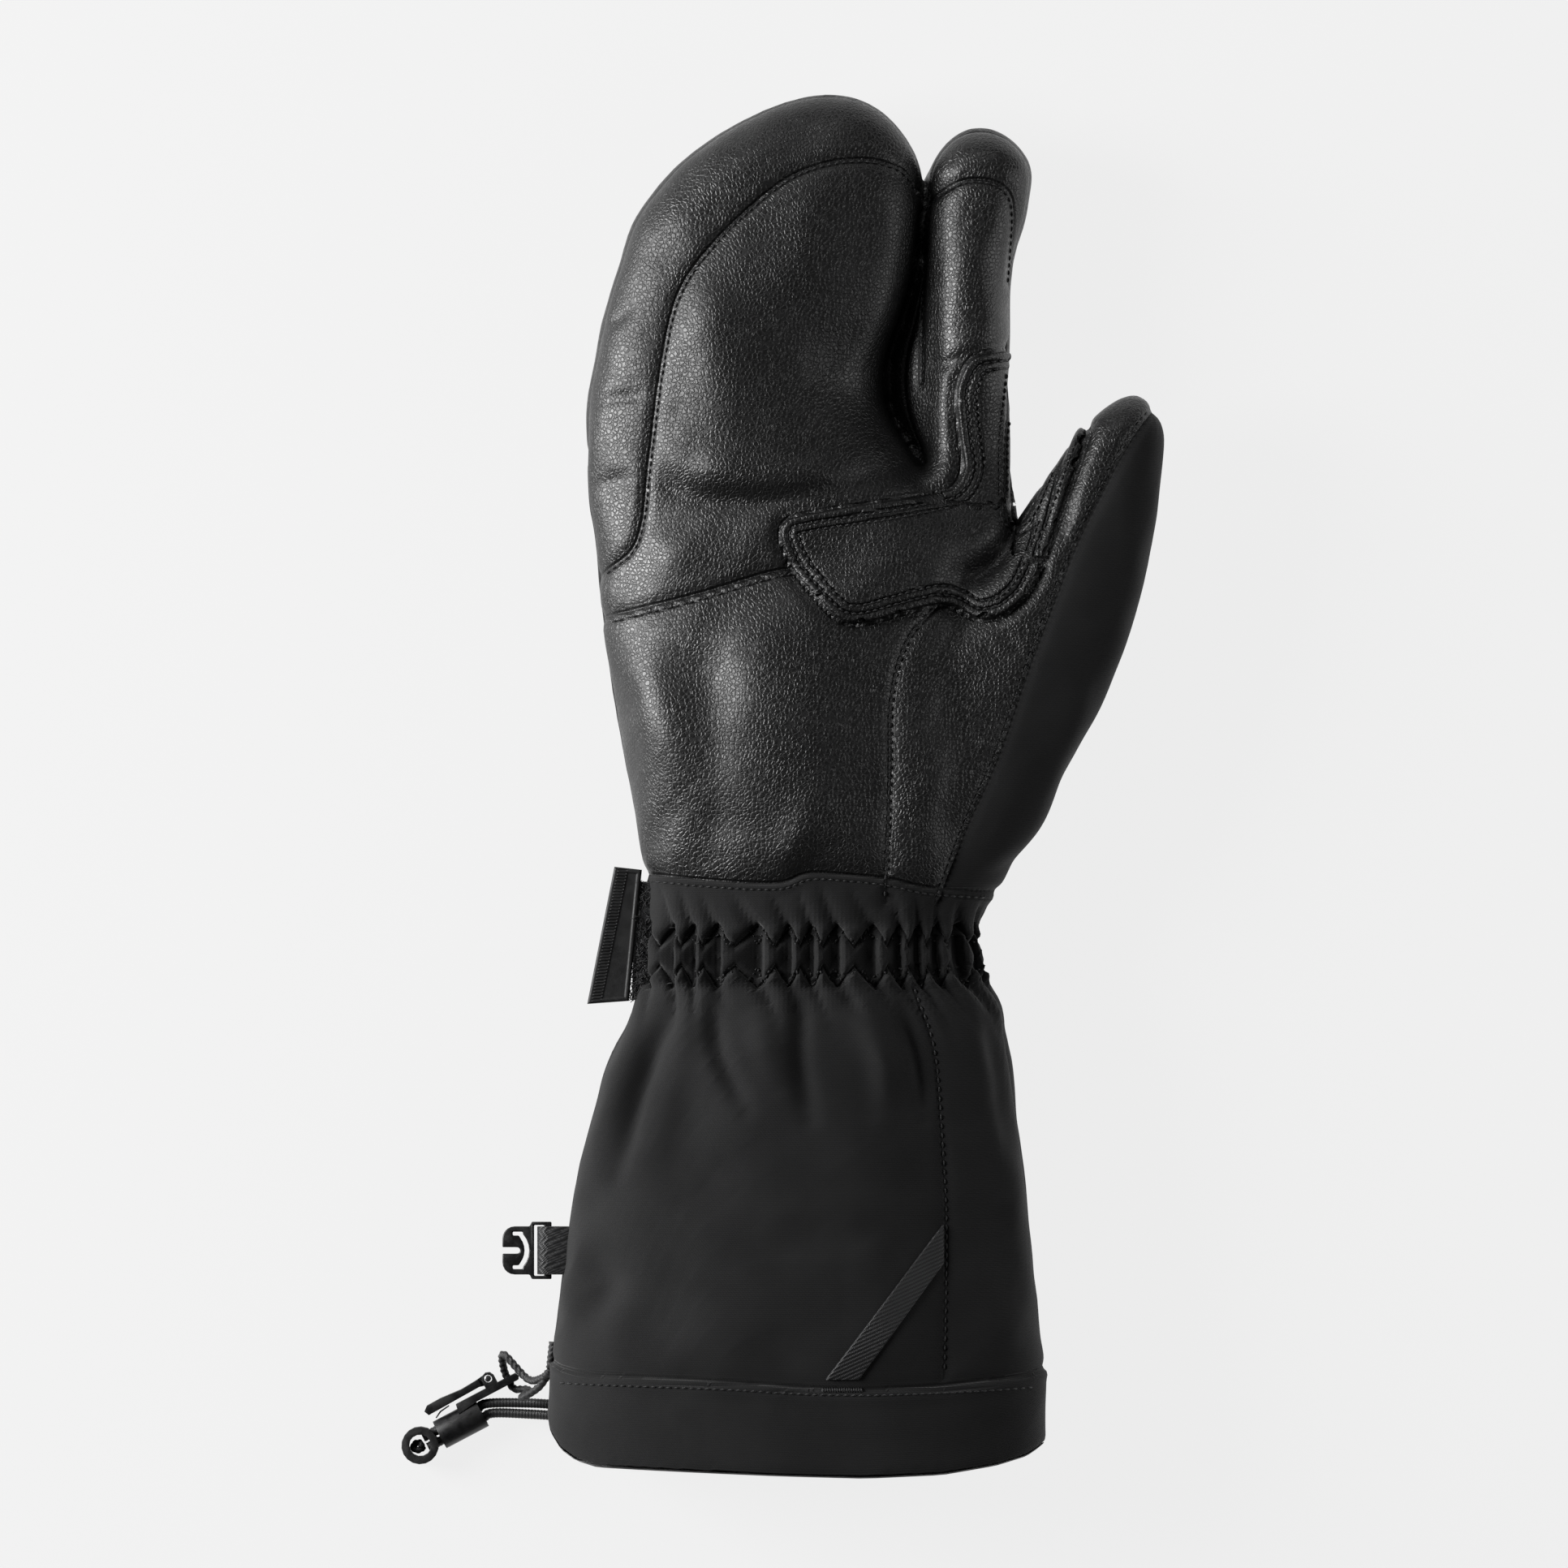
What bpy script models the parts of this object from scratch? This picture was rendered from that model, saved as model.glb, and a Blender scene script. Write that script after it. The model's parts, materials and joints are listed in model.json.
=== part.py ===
"""A three-finger (trigger) gauntlet ski glove for the right hand, lying on its back with the palm up.

Hand frame, in millimetres: the origin is on the wrist crease, between the two shirring rows. +X points to
the thumb, +Y to the fingertips and +Z out of the palm. GLOVE_ORIGIN moves everything to the part's own
origin, the bottom centre of its box. Three limbs make the shape: the main limb (gauntlet, hand and
three-finger mitt), the index finger and the thumb. Every sewn panel and every inner layer is cut out of them.
"""

import math

import bmesh
import bpy
from mathutils import Matrix, Vector

MM = 0.001
GAP = 0.4  # between two panels that a seam joins

# The limbs: (y, left, right, back, palm) of the trunk at each station, before the rounded tip is taken off.
HEM_Y = -135.4
MAIN_TRUNK = [
    (HEM_Y, -69.0, 61.0, 0.0, 62.0),
    (-108.8, -67.6, 60.6, 0.0, 62.0),
    (-72.7, -63.8, 57.0, 0.0, 58.0),
    (-43.0, -57.4, 54.0, 1.0, 55.0),
    (-24.0, -51.2, 51.4, 4.0, 52.0),
    (-13.2, -44.6, 48.2, 6.5, 50.0),
    (-5.7, -42.0, 43.6, 8.0, 48.5),
    (7.4, -41.9, 41.9, 8.0, 48.5),
    (18.7, -42.4, 49.4, 5.4, 50.0),
    (28.0, -44.4, 53.4, 3.2, 51.0),
    (40.0, -46.8, 54.0, 1.2, 51.5),
    (63.0, -51.0, 52.0, 0.0, 52.0),
    (84.6, -54.2, 52.0, 0.0, 50.0),
    (101.6, -55.8, 53.0, 0.5, 48.0),
    (110.5, -56.8, 52.8, 1.0, 47.0),
    (118.5, -58.0, 45.5, 1.2, 46.0),
    (126.0, -58.4, 31.9, 1.4, 45.5),
    (133.0, -58.4, 25.5, 1.5, 45.0),
    (144.5, -58.2, 19.6, 1.5, 44.5),
    (155.0, -56.5, 19.1, 1.8, 44.0),
    (169.0, -53.6, 24.2, 2.3, 43.5),
    (180.0, -50.2, 27.6, 3.0, 43.0),
    (193.0, -45.5, 29.4, 4.0, 42.0),
    (204.6, -37.0, 29.4, 5.5, 40.5),
    (225.5, -20.2, 29.4, 10.0, 37.0),
]
INDEX_TRUNK = [
    (98.0, 30.1, 52.5, 4.0, 42.0),
    (111.0, 30.1, 52.8, 4.0, 41.0),
    (133.0, 30.1, 51.2, 4.5, 40.0),
    (160.0, 30.1, 51.9, 5.5, 38.0),
    (180.0, 30.1, 52.9, 6.5, 37.0),
    (198.0, 30.1, 56.7, 7.5, 36.0),
    (205.7, 31.0, 57.4, 8.5, 35.5),
    (216.7, 32.5, 55.7, 10.0, 34.0),
]
THUMB_TRUNK = [
    (22.0, 20.5, 49.5, 9.0, 45.0),
    (30.0, 20.0, 56.6, 8.0, 47.0),
    (48.5, 21.0, 66.5, 8.0, 47.0),
    (69.7, 24.0, 76.9, 10.0, 47.0),
    (91.0, 35.0, 84.6, 12.0, 46.0),
    (101.6, 43.5, 87.3, 13.0, 45.0),
    (111.0, 53.4, 89.2, 14.0, 44.0),
    (122.8, 61.4, 90.7, 15.0, 43.0),
    (133.5, 68.6, 91.6, 16.0, 41.5),
    (146.3, 77.0, 91.6, 18.0, 39.0),
]
MAIN_TIP = 24.0  # length of the rounded end
INDEX_TIP = 13.0
THUMB_TIP = 11.0
TIP_RINGS = 4
SQUARENESS = 2.4  # of the superellipse that every cross-section is
FINE, COARSE = 20, 10  # sides of the shell and of the layers inside it
FINGER_SIDES = {FINE: 16, COARSE: 8}
FLAT_ENOUGH = math.radians(0.8)  # faces of a cut wall that turn by less are one face
SHARP_EDGE = math.radians(40)

# Layers, by their depth under the outer surface.
OVERLAY = (-1.1, -0.3)
STRAP = (-2.6, -1.4)
SHELL = (0.0, 1.1)
INSULATION = (1.4, 3.5)
LINING = (3.9, 4.8)
GAUNTLET_LINING = (5.5, 6.3)
ELASTIC = (1.6, 2.6)

# Where the moving zones meet: each joint's axis lies in the middle of a soft band.
WRIST_LOW, WRIST_HIGH = -15.0, 20.5
KNUCKLE_LOW, KNUCKLE_HIGH = 106.0, 131.0
THUMB_LOW, THUMB_HIGH = 80.0, 108.0
THUMB_ROOT_X = 46.0
THUMB_CROTCH_X = 53.2
FINGER_SPLIT_X = 29.75
SIDE_SEAM_Z = 25.0  # where palm panels meet back panels on the hand
CUFF_SEAM_Z = 30.0  # the same on the gauntlet
HEM_SEAM_Y = -109.0

# Seams on the palm side, as seen along Z.
DIAGONAL_SEAM = [(-64, 86.5), (-32, 94.1), (-7, 101.2), (12, 102.0), (34, 92.4)]
GUSSET_SEAM = [(34, 92.4), (25.5, 82.5), (21.3, 67.6), (20.8, 46.3), (19.5, 14)]
THUMB_SEAM = [(33, 14), (40.4, 33.6), (48.9, 52.7), (56.3, 74), (65.9, 99.5), (72.3, 114.3), (83.9, 135.6),
              (96, 150)]
MITT_SEAM = [(-70, 88), (-54.2, 100.5), (-45.7, 109), (-42.5, 131.3), (-35, 172.8), (-25.5, 186.6),
             (-10.6, 200.4), (12.8, 208.5), (23.4, 206.1), (30.5, 199)]
INDEX_SEAM = [(29, 150), (29.6, 190), (31.5, 198), (37.2, 201.9), (45, 202.5), (50, 200.5), (53.6, 194),
              (56, 150)]
GAUNTLET_SEAM = [(26.6, -7.9), (31.9, -23.8), (34.5, -50), (34.4, -110)]
GRIP_PATCH = [(56, 158.5), (41.4, 156.8), (37.8, 148.3), (40, 127), (37.2, 121.8), (19.1, 118.2),
              (-6.8, 113.9), (-8.5, 110), (-5.3, 101.6), (2.1, 92), (7.4, 87.1), (12.8, 86.7), (34, 92.7),
              (43.6, 87.8), (49.9, 88.8), (56.3, 94.1), (60.6, 103.7), (72.3, 135.6), (66, 140), (52, 112)]
MOUTH = [(-75, -95), (-75, -119), (-66, -126), (-61.5, -130.5), (-55, -133), (-30, -134.6), (-8, -135.4),
         (22, -135.4), (42, -134), (54, -131.5), (62, -127), (75, -95)]

# Points on the joints' axes
WRIST_JOINT = (0.0, 0.0, 28.0)
KNUCKLE_JOINT = (0.0, 118.5, 22.0)
THUMB_JOINT = (66.0, 94.0, 28.0)
TAB_JOINT = (-46.14, 5.0, 33.2)  # on the top of the tab's right-hand edge

# Hardware on the gauntlet's little-finger side
CLIP_Y, CLIP_Z = -77.0, 31.0
CLIP_BAR_X = -69.0
CLIP_THICK = 2.2
WEBBING_WIDE, WEBBING_THICK = 12.5, 1.1
LOCK_AT = (-92.9, -123.7, 4.3)
LOCK_TILT = math.radians(27.8)
LEVER_PIN = (12.6, 7.2)  # in the lock's own frame, whose x runs along the cords towards the hem
EYE_X = 17.2
CORD_WIDE = 2.5
CORD_PITCH = 2.9  # between the two ends of the drawcord
CORD_DEPTH = 3.4  # of the drawcord's middle, in the hem's tunnel
TETHER_WIDE = 1.9
EXIT_Y, EXIT_Z = -119.8, 9.5  # the slot in the hem where the drawcord comes out
RING_X = -11.4  # of the cord end, in the lock's frame
RING_OUTER, RING_INNER, RING_TALL = 4.9, 2.9, 6.2
TACK_AT = (-68.4, -104.6, 24.0)
TAB = [(-51.6, 23.4), (-58.7, -12.5), (-47.8, -11.7), (-46.6, 8), (-44.4, 22.6)]
TAB_LOW, TAB_THICK = 31.2, 2.0
RIBBON = [(34.0, -69.5), (34.0, -80.5), (12.6, -109.6), (3.4, -109.6)]
GLOVE_ORIGIN = (-5.35, -45.05, 0.0)


def clear_scene():
    for found in list(bpy.data.objects):
        bpy.data.objects.remove(found)


def make_material(name, colour, roughness, metallic=0.0):
    made = bpy.data.materials.new(name)
    made.use_nodes = True
    shader = made.node_tree.nodes["Principled BSDF"]
    shader.inputs["Base Color"].default_value = (*colour, 1)
    shader.inputs["Roughness"].default_value = roughness
    shader.inputs["Metallic"].default_value = metallic
    return made


def mesh_from(name, points, faces):
    """A mesh of points in millimetres, triangulated and with its faces outwards."""
    shape = bmesh.new()
    corners = [shape.verts.new(Vector(p) * MM) for p in points]
    for face in faces:
        shape.faces.new([corners[i] for i in face])
    bmesh.ops.recalc_face_normals(shape, faces=shape.faces)
    bmesh.ops.triangulate(shape, faces=shape.faces)
    mesh = bpy.data.meshes.new(name)
    shape.to_mesh(mesh)
    shape.free()
    return mesh


def evaluated_mesh(obj):
    graph = bpy.context.evaluated_depsgraph_get()
    return bpy.data.meshes.new_from_object(obj.evaluated_get(graph))


def combined(first, second, operation):
    """The mesh of a Boolean between two meshes."""
    target = bpy.data.objects.new("boolean_target", first)
    cutter = bpy.data.objects.new("boolean_cutter", second)
    for found in (target, cutter):
        bpy.context.scene.collection.objects.link(found)
    change = target.modifiers.new("change", "BOOLEAN")
    change.operation = operation
    change.object = cutter
    bpy.context.view_layer.update()
    result = evaluated_mesh(target)
    bpy.data.objects.remove(target)
    bpy.data.objects.remove(cutter)
    return result


def ring_points(y, left, right, back, palm, scale, sides):
    """One cross-section: a superellipse that scale shrinks about its centre."""
    middle_x, middle_z = (left + right) / 2, (back + palm) / 2
    points = []
    for i in range(sides):
        angle = 2 * math.pi * i / sides
        c, s = math.cos(angle), math.sin(angle)
        x = math.copysign(abs(c) ** (2 / SQUARENESS), c) * (right - left) / 2
        z = math.copysign(abs(s) ** (2 / SQUARENESS), s) * (palm - back) / 2
        points.append((middle_x + x * scale, y, middle_z + z * scale))
    return points


def trunk_at(trunk, y):
    """The trunk's box at a height between two stations."""
    for low, high in zip(trunk, trunk[1:], strict=False):
        if y <= high[0]:
            break
    share = (y - low[0]) / (high[0] - low[0])
    return [a + (b - a) * share for a, b in zip(low[1:], high[1:], strict=True)]


def limb(trunk, tip, depth, sides, foot=0.0):
    """A closed tube through the trunk's stations with a rounded end, all of it depth under the surface.
    foot lengthens its open end, for a cutter that has to reach past the piece it hollows."""
    end = trunk[-1][0] - depth
    tip_length = tip - depth / 2
    heights = [(station[0], 1.0) for station in trunk if station[0] < end - tip_length - 1]
    heights[0] = (heights[0][0] - foot, 1.0)
    for i in range(TIP_RINGS + 1):
        turn = math.pi / 2 * i / (TIP_RINGS + 0.35)
        heights.append((end - tip_length + tip_length * math.sin(turn), math.cos(turn)))
    points = []
    for y, scale in heights:
        left, right, back, palm = trunk_at(trunk, max(y, trunk[0][0]))
        points += ring_points(y, left + depth, right - depth, back + depth, palm - depth, scale, sides)
    rings = len(heights)
    faces = [list(range(sides)), [(rings - 1) * sides + i for i in range(sides)]]
    for ring in range(rings - 1):
        for i in range(sides):
            j = (i + 1) % sides
            low, high = ring * sides, (ring + 1) * sides
            faces.append([low + i, low + j, high + j, high + i])
    return mesh_from("limb", points, faces)


def whole_glove(depth, sides, foot=0.0):
    """The three limbs as one solid, depth under the outer surface."""
    body = limb(MAIN_TRUNK, MAIN_TIP, depth, sides, foot)
    body = combined(body, limb(INDEX_TRUNK, INDEX_TIP, depth, FINGER_SIDES[sides]), "UNION")
    return combined(body, limb(THUMB_TRUNK, THUMB_TIP, depth, FINGER_SIDES[sides]), "UNION")


def prism(outline, low, high):
    """A closed outline, seen along Z, made solid between two heights."""
    count = len(outline)
    points = [(x, y, z) for z in (low, high) for x, y in outline]
    faces = [list(range(count)), [count + i for i in range(count)]]
    for i in range(count):
        j = (i + 1) % count
        faces.append([i, j, count + j, count + i])
    return mesh_from("prism", points, faces)


def inset(outline, distance):
    """A closed outline moved inwards, each corner along the middle of its two edges."""
    count = len(outline)
    turned = sum(outline[i - 1][0] * outline[i][1] - outline[i][0] * outline[i - 1][1] for i in range(count))
    side = 1 if turned > 0 else -1
    moved = []
    for i in range(count):
        before, here, after = (Vector(outline[(i + k) % count]) for k in (-1, 0, 1))
        first = (here - before).normalized()
        second = (after - here).normalized()
        normal = Vector((-first.y - second.y, first.x + second.x)) * side
        stretch = distance / max(0.35, (1 + first.dot(second)) / 2) / 2
        moved.append(tuple(here + normal * stretch))
    return moved


def rectangle(x0, x1, y0, y1):
    return [(x0, y0), (x1, y0), (x1, y1), (x0, y1)]


FAR = 240.0  # beyond the glove on any side
BELOW, ABOVE = -30.0, 90.0
UP = (SIDE_SEAM_Z + GAP / 2, ABOVE)
DOWN = (BELOW, SIDE_SEAM_Z - GAP / 2)
THROUGH = (BELOW, ABOVE)
EVERYWHERE = rectangle(-FAR, FAR, -FAR, FAR)
THUMB_WEB_Y = 150.0  # between the thumb's tip and the index finger

ZONES = {
    "hem": rectangle(-FAR, FAR, -FAR, HEM_SEAM_Y),
    "gauntlet": rectangle(-FAR, FAR, HEM_SEAM_Y, WRIST_LOW),
    "wrist": rectangle(-FAR, FAR, WRIST_LOW, WRIST_HIGH),
    "hand": [(-FAR, WRIST_HIGH), (FAR, WRIST_HIGH), (FAR, THUMB_LOW), (THUMB_ROOT_X, THUMB_LOW),
             (THUMB_ROOT_X, KNUCKLE_LOW), (-FAR, KNUCKLE_LOW)],
    "knuckle": [(-FAR, KNUCKLE_LOW), (THUMB_ROOT_X, KNUCKLE_LOW), (THUMB_ROOT_X, THUMB_HIGH),
                (THUMB_CROTCH_X, THUMB_HIGH), (THUMB_CROTCH_X, KNUCKLE_HIGH), (-FAR, KNUCKLE_HIGH)],
    "thumb_base": rectangle(THUMB_ROOT_X, FAR, THUMB_LOW, THUMB_HIGH),
    "thumb": rectangle(THUMB_CROTCH_X, FAR, THUMB_HIGH, FAR),
    "mitt": rectangle(-FAR, FINGER_SPLIT_X, KNUCKLE_HIGH, FAR),
    "index": [(FINGER_SPLIT_X, KNUCKLE_HIGH), (THUMB_CROTCH_X, KNUCKLE_HIGH), (THUMB_CROTCH_X, THUMB_WEB_Y),
              (70, THUMB_WEB_Y), (70, FAR), (FINGER_SPLIT_X, FAR)],
}

made_layers = {}


def layer(depths, sides=COARSE):
    """The wall between two depths, open at the glove's mouth."""
    if depths not in made_layers:
        outer, inner = depths
        hollow = whole_glove(inner, sides, 8.0)
        made_layers[depths] = combined(whole_glove(outer, sides), hollow, "DIFFERENCE")
    return made_layers[depths]


def cut(mesh, outline, heights, inside=True):
    """The mesh inside (or outside) an upright outline, with half the seam gap left at its edge."""
    outline = inset(outline, GAP / 2 if inside else -GAP / 2)
    return combined(mesh, prism(outline, *heights), "INTERSECT" if inside else "DIFFERENCE")


made_zones = {}


def zone(depths, name, sides=COARSE):
    if (depths, name) not in made_zones:
        made_zones[depths, name] = cut(layer(depths, sides), ZONES[name], THROUGH)
    return made_zones[depths, name]


def biggest_body(mesh):
    """The mesh's largest connected piece, with its flat faces joined. A cut can leave a crumb beside it."""
    shape = bmesh.new()
    shape.from_mesh(mesh)
    left, islands = set(shape.verts), []
    while left:
        found, front = set(), [left.pop()]
        while front:
            vert = front.pop()
            found.add(vert)
            for edge in vert.link_edges:
                other = edge.other_vert(vert)
                if other in left:
                    left.discard(other)
                    front.append(other)
        islands.append(found)
    keep = max(islands, key=len)
    bmesh.ops.delete(shape, geom=[v for v in shape.verts if v not in keep], context="VERTS")
    bmesh.ops.dissolve_degenerate(shape, dist=0.02 * MM, edges=shape.edges)
    bmesh.ops.dissolve_limit(shape, angle_limit=FLAT_ENOUGH, verts=shape.verts, edges=shape.edges)
    bmesh.ops.triangulate(shape, faces=shape.faces)
    shape.to_mesh(mesh)
    shape.free()
    return mesh


def place(name, mesh, look, pivot=(0, 0, 0), turn=None):
    """The piece as an object whose origin is on its joint's axis. turn places a mesh made about an origin."""
    obj = bpy.data.objects.new(name, mesh)
    bpy.context.scene.collection.objects.link(obj)
    if turn is None:
        mesh.transform(Matrix.Translation(-Vector(pivot) * MM))
    else:
        obj.rotation_euler = turn
    obj.location = Vector(pivot) * MM
    obj.parent = glove
    mesh.materials.clear()
    mesh.materials.append(look)
    mesh.shade_smooth()
    mesh.set_sharp_from_angle(angle=SHARP_EDGE)
    return obj


clear_scene()
glove = bpy.data.objects.new("glove_origin", None)
glove.location = Vector(GLOVE_ORIGIN) * MM
bpy.context.scene.collection.objects.link(glove)

LEATHER = make_material("leather", (0.012, 0.012, 0.013), 0.42)
OVERLAY_LEATHER = make_material("overlay_leather", (0.010, 0.010, 0.011), 0.38)
SOFTSHELL = make_material("softshell", (0.018, 0.018, 0.019), 0.85)
WADDING = make_material("wadding", (0.55, 0.55, 0.57), 0.95)
FLEECE = make_material("fleece_lining", (0.03, 0.03, 0.032), 0.95)
WEBBING = make_material("webbing", (0.014, 0.014, 0.015), 0.7)
PLASTIC = make_material("moulded_plastic", (0.010, 0.010, 0.011), 0.35)
RUBBER = make_material("moulded_rubber", (0.012, 0.012, 0.013), 0.5)
CORD = make_material("elastic_cord", (0.016, 0.016, 0.017), 0.65)
STEEL = make_material("spring_steel", (0.6, 0.6, 0.62), 0.3, 1.0)


ZONE_JOINTS = {"hand": WRIST_JOINT, "knuckle": WRIST_JOINT, "thumb_base": WRIST_JOINT, "mitt": KNUCKLE_JOINT,
               "index": KNUCKLE_JOINT, "thumb": THUMB_JOINT}


def panel(name, zone_name, look, depths=SHELL, outline=None, outside=(), heights=THROUGH):
    """One sewn piece: a zone's wall, inside one outline and outside others, between two heights."""
    sides = FINE if depths in (SHELL, OVERLAY, STRAP) else COARSE
    mesh = zone(depths, zone_name, sides).copy()
    if outline is not None or heights != THROUGH:
        mesh = cut(mesh, outline or EVERYWHERE, heights)
    for edge in outside:
        mesh = cut(mesh, edge, heights, inside=False)
    return place(name, biggest_body(mesh), look, ZONE_JOINTS.get(zone_name, (0, 0, 0)))


def beside(seam, x):
    """Everything from a seam that runs along Y to a line at x."""
    return list(seam) + [(x, seam[-1][1]), (x, seam[0][1])]


def make_shell():
    """The leather palm and fingers, the softshell back, and the gauntlet."""
    left_of_gusset = beside(DIAGONAL_SEAM[:-1] + GUSSET_SEAM, -FAR)
    left_of_thumb_seam = beside(THUMB_SEAM, -FAR)
    panel("palm_heel_leather", "hand", LEATHER, outline=left_of_gusset, heights=UP)
    above_diagonal = DIAGONAL_SEAM + [(34, 96), (THUMB_ROOT_X + 9, 96), (THUMB_ROOT_X + 9, 120), (-64, 120)]
    panel("upper_palm_leather", "hand", LEATHER, outline=above_diagonal, heights=UP)
    panel("thumb_gusset_leather", "hand", LEATHER, outline=left_of_thumb_seam,
          outside=[left_of_gusset, above_diagonal], heights=UP)
    panel("hand_side_fabric", "hand", SOFTSHELL, outline=beside(THUMB_SEAM, FAR), heights=UP)
    panel("hand_back_fabric", "hand", SOFTSHELL, heights=DOWN)
    panel("knuckle_leather", "knuckle", LEATHER, heights=UP)
    panel("knuckle_back_fabric", "knuckle", SOFTSHELL, heights=DOWN)
    panel("thumb_base_leather", "thumb_base", LEATHER, outline=left_of_thumb_seam, heights=UP)
    panel("thumb_base_fabric", "thumb_base", SOFTSHELL, outside=[left_of_thumb_seam], heights=THROUGH)

    mitt_front = MITT_SEAM + [(40, 180), (40, 88)]
    panel("mitt_palm_leather", "mitt", LEATHER, outline=mitt_front, heights=UP)
    panel("mitt_sidewall_leather", "mitt", LEATHER, outside=[mitt_front], heights=UP)
    panel("mitt_back_leather", "mitt", LEATHER, heights=DOWN)
    index_front = INDEX_SEAM + [(56, 100), (29, 100)]
    panel("index_palm_leather", "index", LEATHER, outline=index_front, heights=UP)
    panel("index_sidewall_leather", "index", LEATHER, outside=[index_front], heights=UP)
    panel("index_back_leather", "index", LEATHER, heights=DOWN)
    panel("thumb_palm_leather", "thumb", LEATHER, outline=left_of_thumb_seam, heights=UP)
    panel("thumb_back_fabric", "thumb", SOFTSHELL, outside=[left_of_thumb_seam])


def make_overlays():
    """The reinforcement patch on the palm, index and thumb, cut where the joints cross it."""
    above = (30.0, ABOVE)
    panel("grip_patch_palm", "hand", OVERLAY_LEATHER, OVERLAY, GRIP_PATCH, heights=above)
    panel("grip_patch_crotch", "knuckle", OVERLAY_LEATHER, OVERLAY, GRIP_PATCH, heights=above)
    panel("grip_patch_thumb_base", "thumb_base", OVERLAY_LEATHER, OVERLAY, GRIP_PATCH, heights=above)
    panel("grip_patch_index", "index", OVERLAY_LEATHER, OVERLAY, GRIP_PATCH, heights=above)
    panel("grip_patch_thumb", "thumb", OVERLAY_LEATHER, OVERLAY, GRIP_PATCH, heights=above)


def make_gauntlet():
    """The gauntlet's panels, its hem band, the shirred cuff and what the cuff holds."""
    front, back = (CUFF_SEAM_Z + GAP / 2, ABOVE), (BELOW, CUFF_SEAM_Z - GAP / 2)
    left_of_seam = beside([(26.6, 40)] + GAUNTLET_SEAM + [(34.4, -150)], -FAR)
    panel("gauntlet_palm_panel", "gauntlet", SOFTSHELL, outline=left_of_seam, heights=front)
    panel("gauntlet_side_panel", "gauntlet", SOFTSHELL, outside=[left_of_seam], heights=front)
    panel("gauntlet_back_panel", "gauntlet", SOFTSHELL, heights=back)
    panel("cuff_palm_fabric", "wrist", SOFTSHELL, heights=front)
    panel("cuff_back_fabric", "wrist", SOFTSHELL, heights=back)
    panel("hem_band_palm", "hem", SOFTSHELL, outline=MOUTH, heights=front)
    hem_back = cut(zone(SHELL, "hem", FINE), MOUTH, back)
    exit_slot = prism(rectangle(-80, -48, EXIT_Y - 3.6, EXIT_Y + 3.6), EXIT_Z - 2.4, EXIT_Z + 2.4)
    hem_back = combined(hem_back, exit_slot, "DIFFERENCE")
    place("hem_band_back", biggest_body(hem_back), SOFTSHELL)
    panel("wrist_elastic", "wrist", WEBBING, ELASTIC, rectangle(-FAR, FAR, -9.5, 9.5))
    panel("wrist_lining", "wrist", FLEECE, LINING)
    shorter_mouth = [(x, y + 3) for x, y in MOUTH[1:-1]]
    lining = cut(layer(GAUNTLET_LINING), shorter_mouth + [(75, WRIST_LOW), (-75, WRIST_LOW)], THROUGH)
    place("gauntlet_lining", biggest_body(lining), FLEECE)


def make_insides():
    """Insulation and lining of the hand and the three finger stalls."""
    for zone_name in ("hand", "mitt", "index", "thumb"):
        panel(zone_name + "_insulation", zone_name, WADDING, INSULATION)
        panel(zone_name + "_lining", zone_name, FLEECE, LINING)


LOCK_FRAME = Matrix.Translation(Vector(LOCK_AT) * MM) @ Matrix.Rotation(LOCK_TILT, 4, "Z")


def in_lock(x, y, z=0.0):
    """A point of the lock's frame, in the hand frame, both in millimetres."""
    return LOCK_FRAME @ (Vector((x, y, z)) * MM) / MM


def turned(mesh, matrix):
    mesh.transform(matrix)
    return mesh


def box(x0, x1, y0, y1, z0, z1):
    return prism(rectangle(x0, x1, y0, y1), z0, z1)


def circle(x, y, radius, steps=12, start=0.0, end=2 * math.pi):
    """Points on an arc; a full turn leaves out its last point."""
    full = end - start > 2 * math.pi - 0.01
    count = steps if full else steps - 1
    return [(x + radius * math.cos(start + (end - start) * i / count),
             y + radius * math.sin(start + (end - start) * i / count)) for i in range(steps)]


def along_y(outline, low, high):
    """An outline in the XZ plane, given as (x, z), made solid between two values of y."""
    return turned(prism([(x, -z) for x, z in outline], low, high), Matrix.Rotation(math.radians(-90), 4, "X"))


def along_x(outline, low, high):
    """An outline in the YZ plane, given as (y, z), made solid between two values of x."""
    swap = Matrix(((0, 0, 1, 0), (1, 0, 0, 0), (0, 1, 0, 0), (0, 0, 0, 1)))
    return turned(prism(outline, low, high), swap)


def tube(name, route, wide, look):
    """A cord along a smooth curve through the route's points, as a poly curve with a round bevel."""
    spots = smooth_route([Vector(p) for p in route], wide * 1.15)
    curve = bpy.data.curves.new(name, "CURVE")
    curve.dimensions = "3D"
    curve.bevel_depth = wide / 2 * MM
    curve.bevel_resolution = 2
    curve.use_fill_caps = True
    spline = curve.splines.new("POLY")
    spline.points.add(len(spots) - 1)
    for point, spot in zip(spline.points, spots, strict=True):
        point.co = (*(spot * MM), 1)
    curve.materials.append(look)
    obj = bpy.data.objects.new(name, curve)
    bpy.context.scene.collection.objects.link(obj)
    obj.parent = glove
    return obj


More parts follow.
